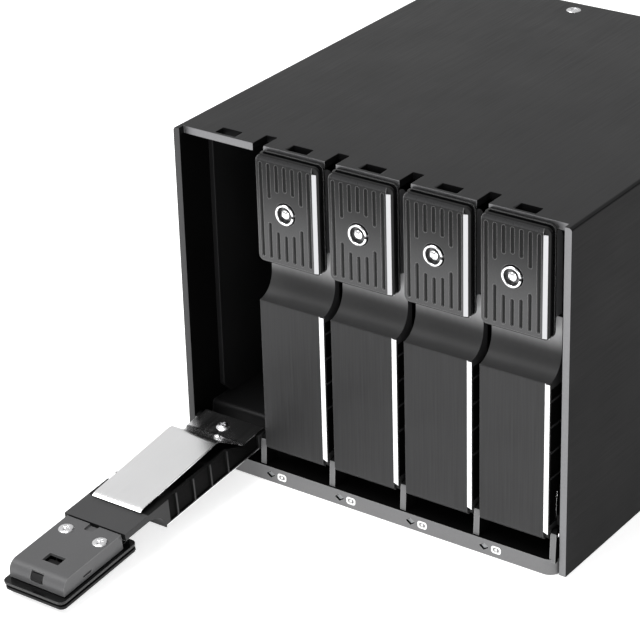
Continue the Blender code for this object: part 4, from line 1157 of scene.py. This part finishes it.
def make_fan_frame():
    low, high = FAN_LOW, FAN_HIGH
    housing = slab((low.x, low.z, high.x, high.z, 0.005), "XZ", low.y, high.y)
    bore = pegs([(0, FAN_Z, FAN_BORE_RADIUS)], low.y - OVER, high.y + OVER, 72)
    waist = cut(slab((low.x - 0.01, low.z - 0.01, high.x + 0.01, high.z + 0.01, 0.001), "XZ",
                     low.y + 0.004, high.y - 0.004),
                pegs([(0, FAN_Z, FAN_BORE_RADIUS + 0.0016)], low.y, high.y, 72))
    seat = pegs([(0, FAN_Z, 0.015)], high.y - 0.0028, high.y, 40)
    arms = [transformed(box((0.0122, -0.0012, -0.0020), (0.0387, 0.0012, 0.0020)),
                        shift((0, high.y - 0.0014, FAN_Z)) @ turn(angle, "Y")) for angle in (15, 135, 255)]
    holes = pegs([(x, z, 0.0021) for x, z in MOUNT_CORNERS], low.y - OVER, high.y + OVER, 20)
    cut(housing, bore, applied(waist))
    join(applied(housing), seat, *arms)
    cut(housing, holes)
    on_cage("fan_housing", "black_plastic", housing, MOULDED, node="fan_frame", bevel=0.0003)


BLADE_COUNT = 7
HUB_RADIUS = 0.0165
HUB_ROUND = 0.0015
BLADE_TIP_RADIUS = 0.0362
BLADE_CELLS = 6


def blade(start, half):
    """One curved, swept blade from the hub out, as a grid that is then thickened."""
    bm = bmesh.new()
    root = HUB_RADIUS - 0.0008
    rows = []
    for i in range(BLADE_CELLS + 1):
        t = i / BLADE_CELLS
        radius = root + (BLADE_TIP_RADIUS - root) * t
        pitch, chord = math.radians(48 - 16 * t), 0.0165 + 0.0030 * t
        row = []
        for j in range(BLADE_CELLS + 1):
            s = j / BLADE_CELLS - 0.5
            deep = s * chord * math.sin(pitch) + 0.0012 * (1 - 4 * s * s)
            angle = start + s * chord * math.cos(pitch) / radius + 0.25 * t
            spot = (radius * math.cos(angle), max(min(deep, half), -half), radius * math.sin(angle))
            row.append(bm.verts.new(spot))
        rows.append(row)
    for near, far in zip(rows, rows[1:]):
        for a, b, c, d in zip(near, near[1:], far[1:], far):
            bm.faces.new((a, b, c, d))
    item = as_object("blade", bm)
    modifier = item.modifiers.new("Thick", "SOLIDIFY")
    modifier.thickness = 0.0011
    modifier.offset = 0.0
    return applied(item)


def make_fan_rotor():
    half = (ROTOR_HIGH.y - ROTOR_LOW.y) / 2
    middle = (ROTOR_HIGH.y + ROTOR_LOW.y) / 2
    inner = HUB_RADIUS - 0.0018
    profile = [(0.0, -half), (HUB_RADIUS - 0.0012, -half)]
    profile += arc(HUB_RADIUS - HUB_ROUND, HUB_ROUND - half, HUB_ROUND, HUB_ROUND, -90, 0, 5)
    profile += [(HUB_RADIUS, half), (inner, half), (inner, half - 0.003), (0.0, half - 0.003)]
    hub = transformed(turned(profile, 56), FACE_REAR)
    for index in range(BLADE_COUNT):
        join(hub, blade(2 * math.pi * index / BLADE_COUNT, half - 0.0012))
    place(shaped(hub, MOULDED, bevel=0.00015, segments=1), "fan_wheel", "rotor", "black_plastic",
          shift((0, middle, FAN_Z)), ["fan_rotor"])


def make_fan_guard():
    middle = (GUARD_LOW.y + GUARD_HIGH.y) / 2
    wires = []
    for radius in (0.013, 0.019, 0.025, 0.031, 0.037):
        section = [(radius + x, z) for x, z in arc(0, 0, WIRE_RADIUS, WIRE_RADIUS, 0, 360, 10)]
        wires.append(transformed(turned(section, 64), shift((0, middle, FAN_Z)) @ FACE_REAR))
    reach = MOUNT_SPACING / math.sqrt(2) + 0.0030
    for angle in (45, -45):
        spoke = slab((-reach, -0.0009, reach, 0.0009, 0.0008), "XZ", middle - 0.0006, middle + 0.0006, 3)
        wires.append(transformed(spoke, shift((0, 0, FAN_Z)) @ turn(angle, "Y")))
    on_cage("guard_wires", "bright_steel", join(*wires), WIRE, node="fan_guard", bevel=0)
    screw = screw_mesh(0.0030, 0.0010, DARK_SCREW)
    screws_at("fan_screws", "black_steel", screw, MOUNT_CORNERS, GUARD_HIGH.y)


# ---- assembly

for make in (make_studio, make_sleeve, make_sill, make_sill_marks, make_light_pipe, make_hinge_rod,
             make_drive_floor, make_bottom_plate, make_dividers, hang_doors, make_board, make_sockets,
             make_rear_panel, make_fan_frame, make_fan_rotor, make_fan_guard):
    make()
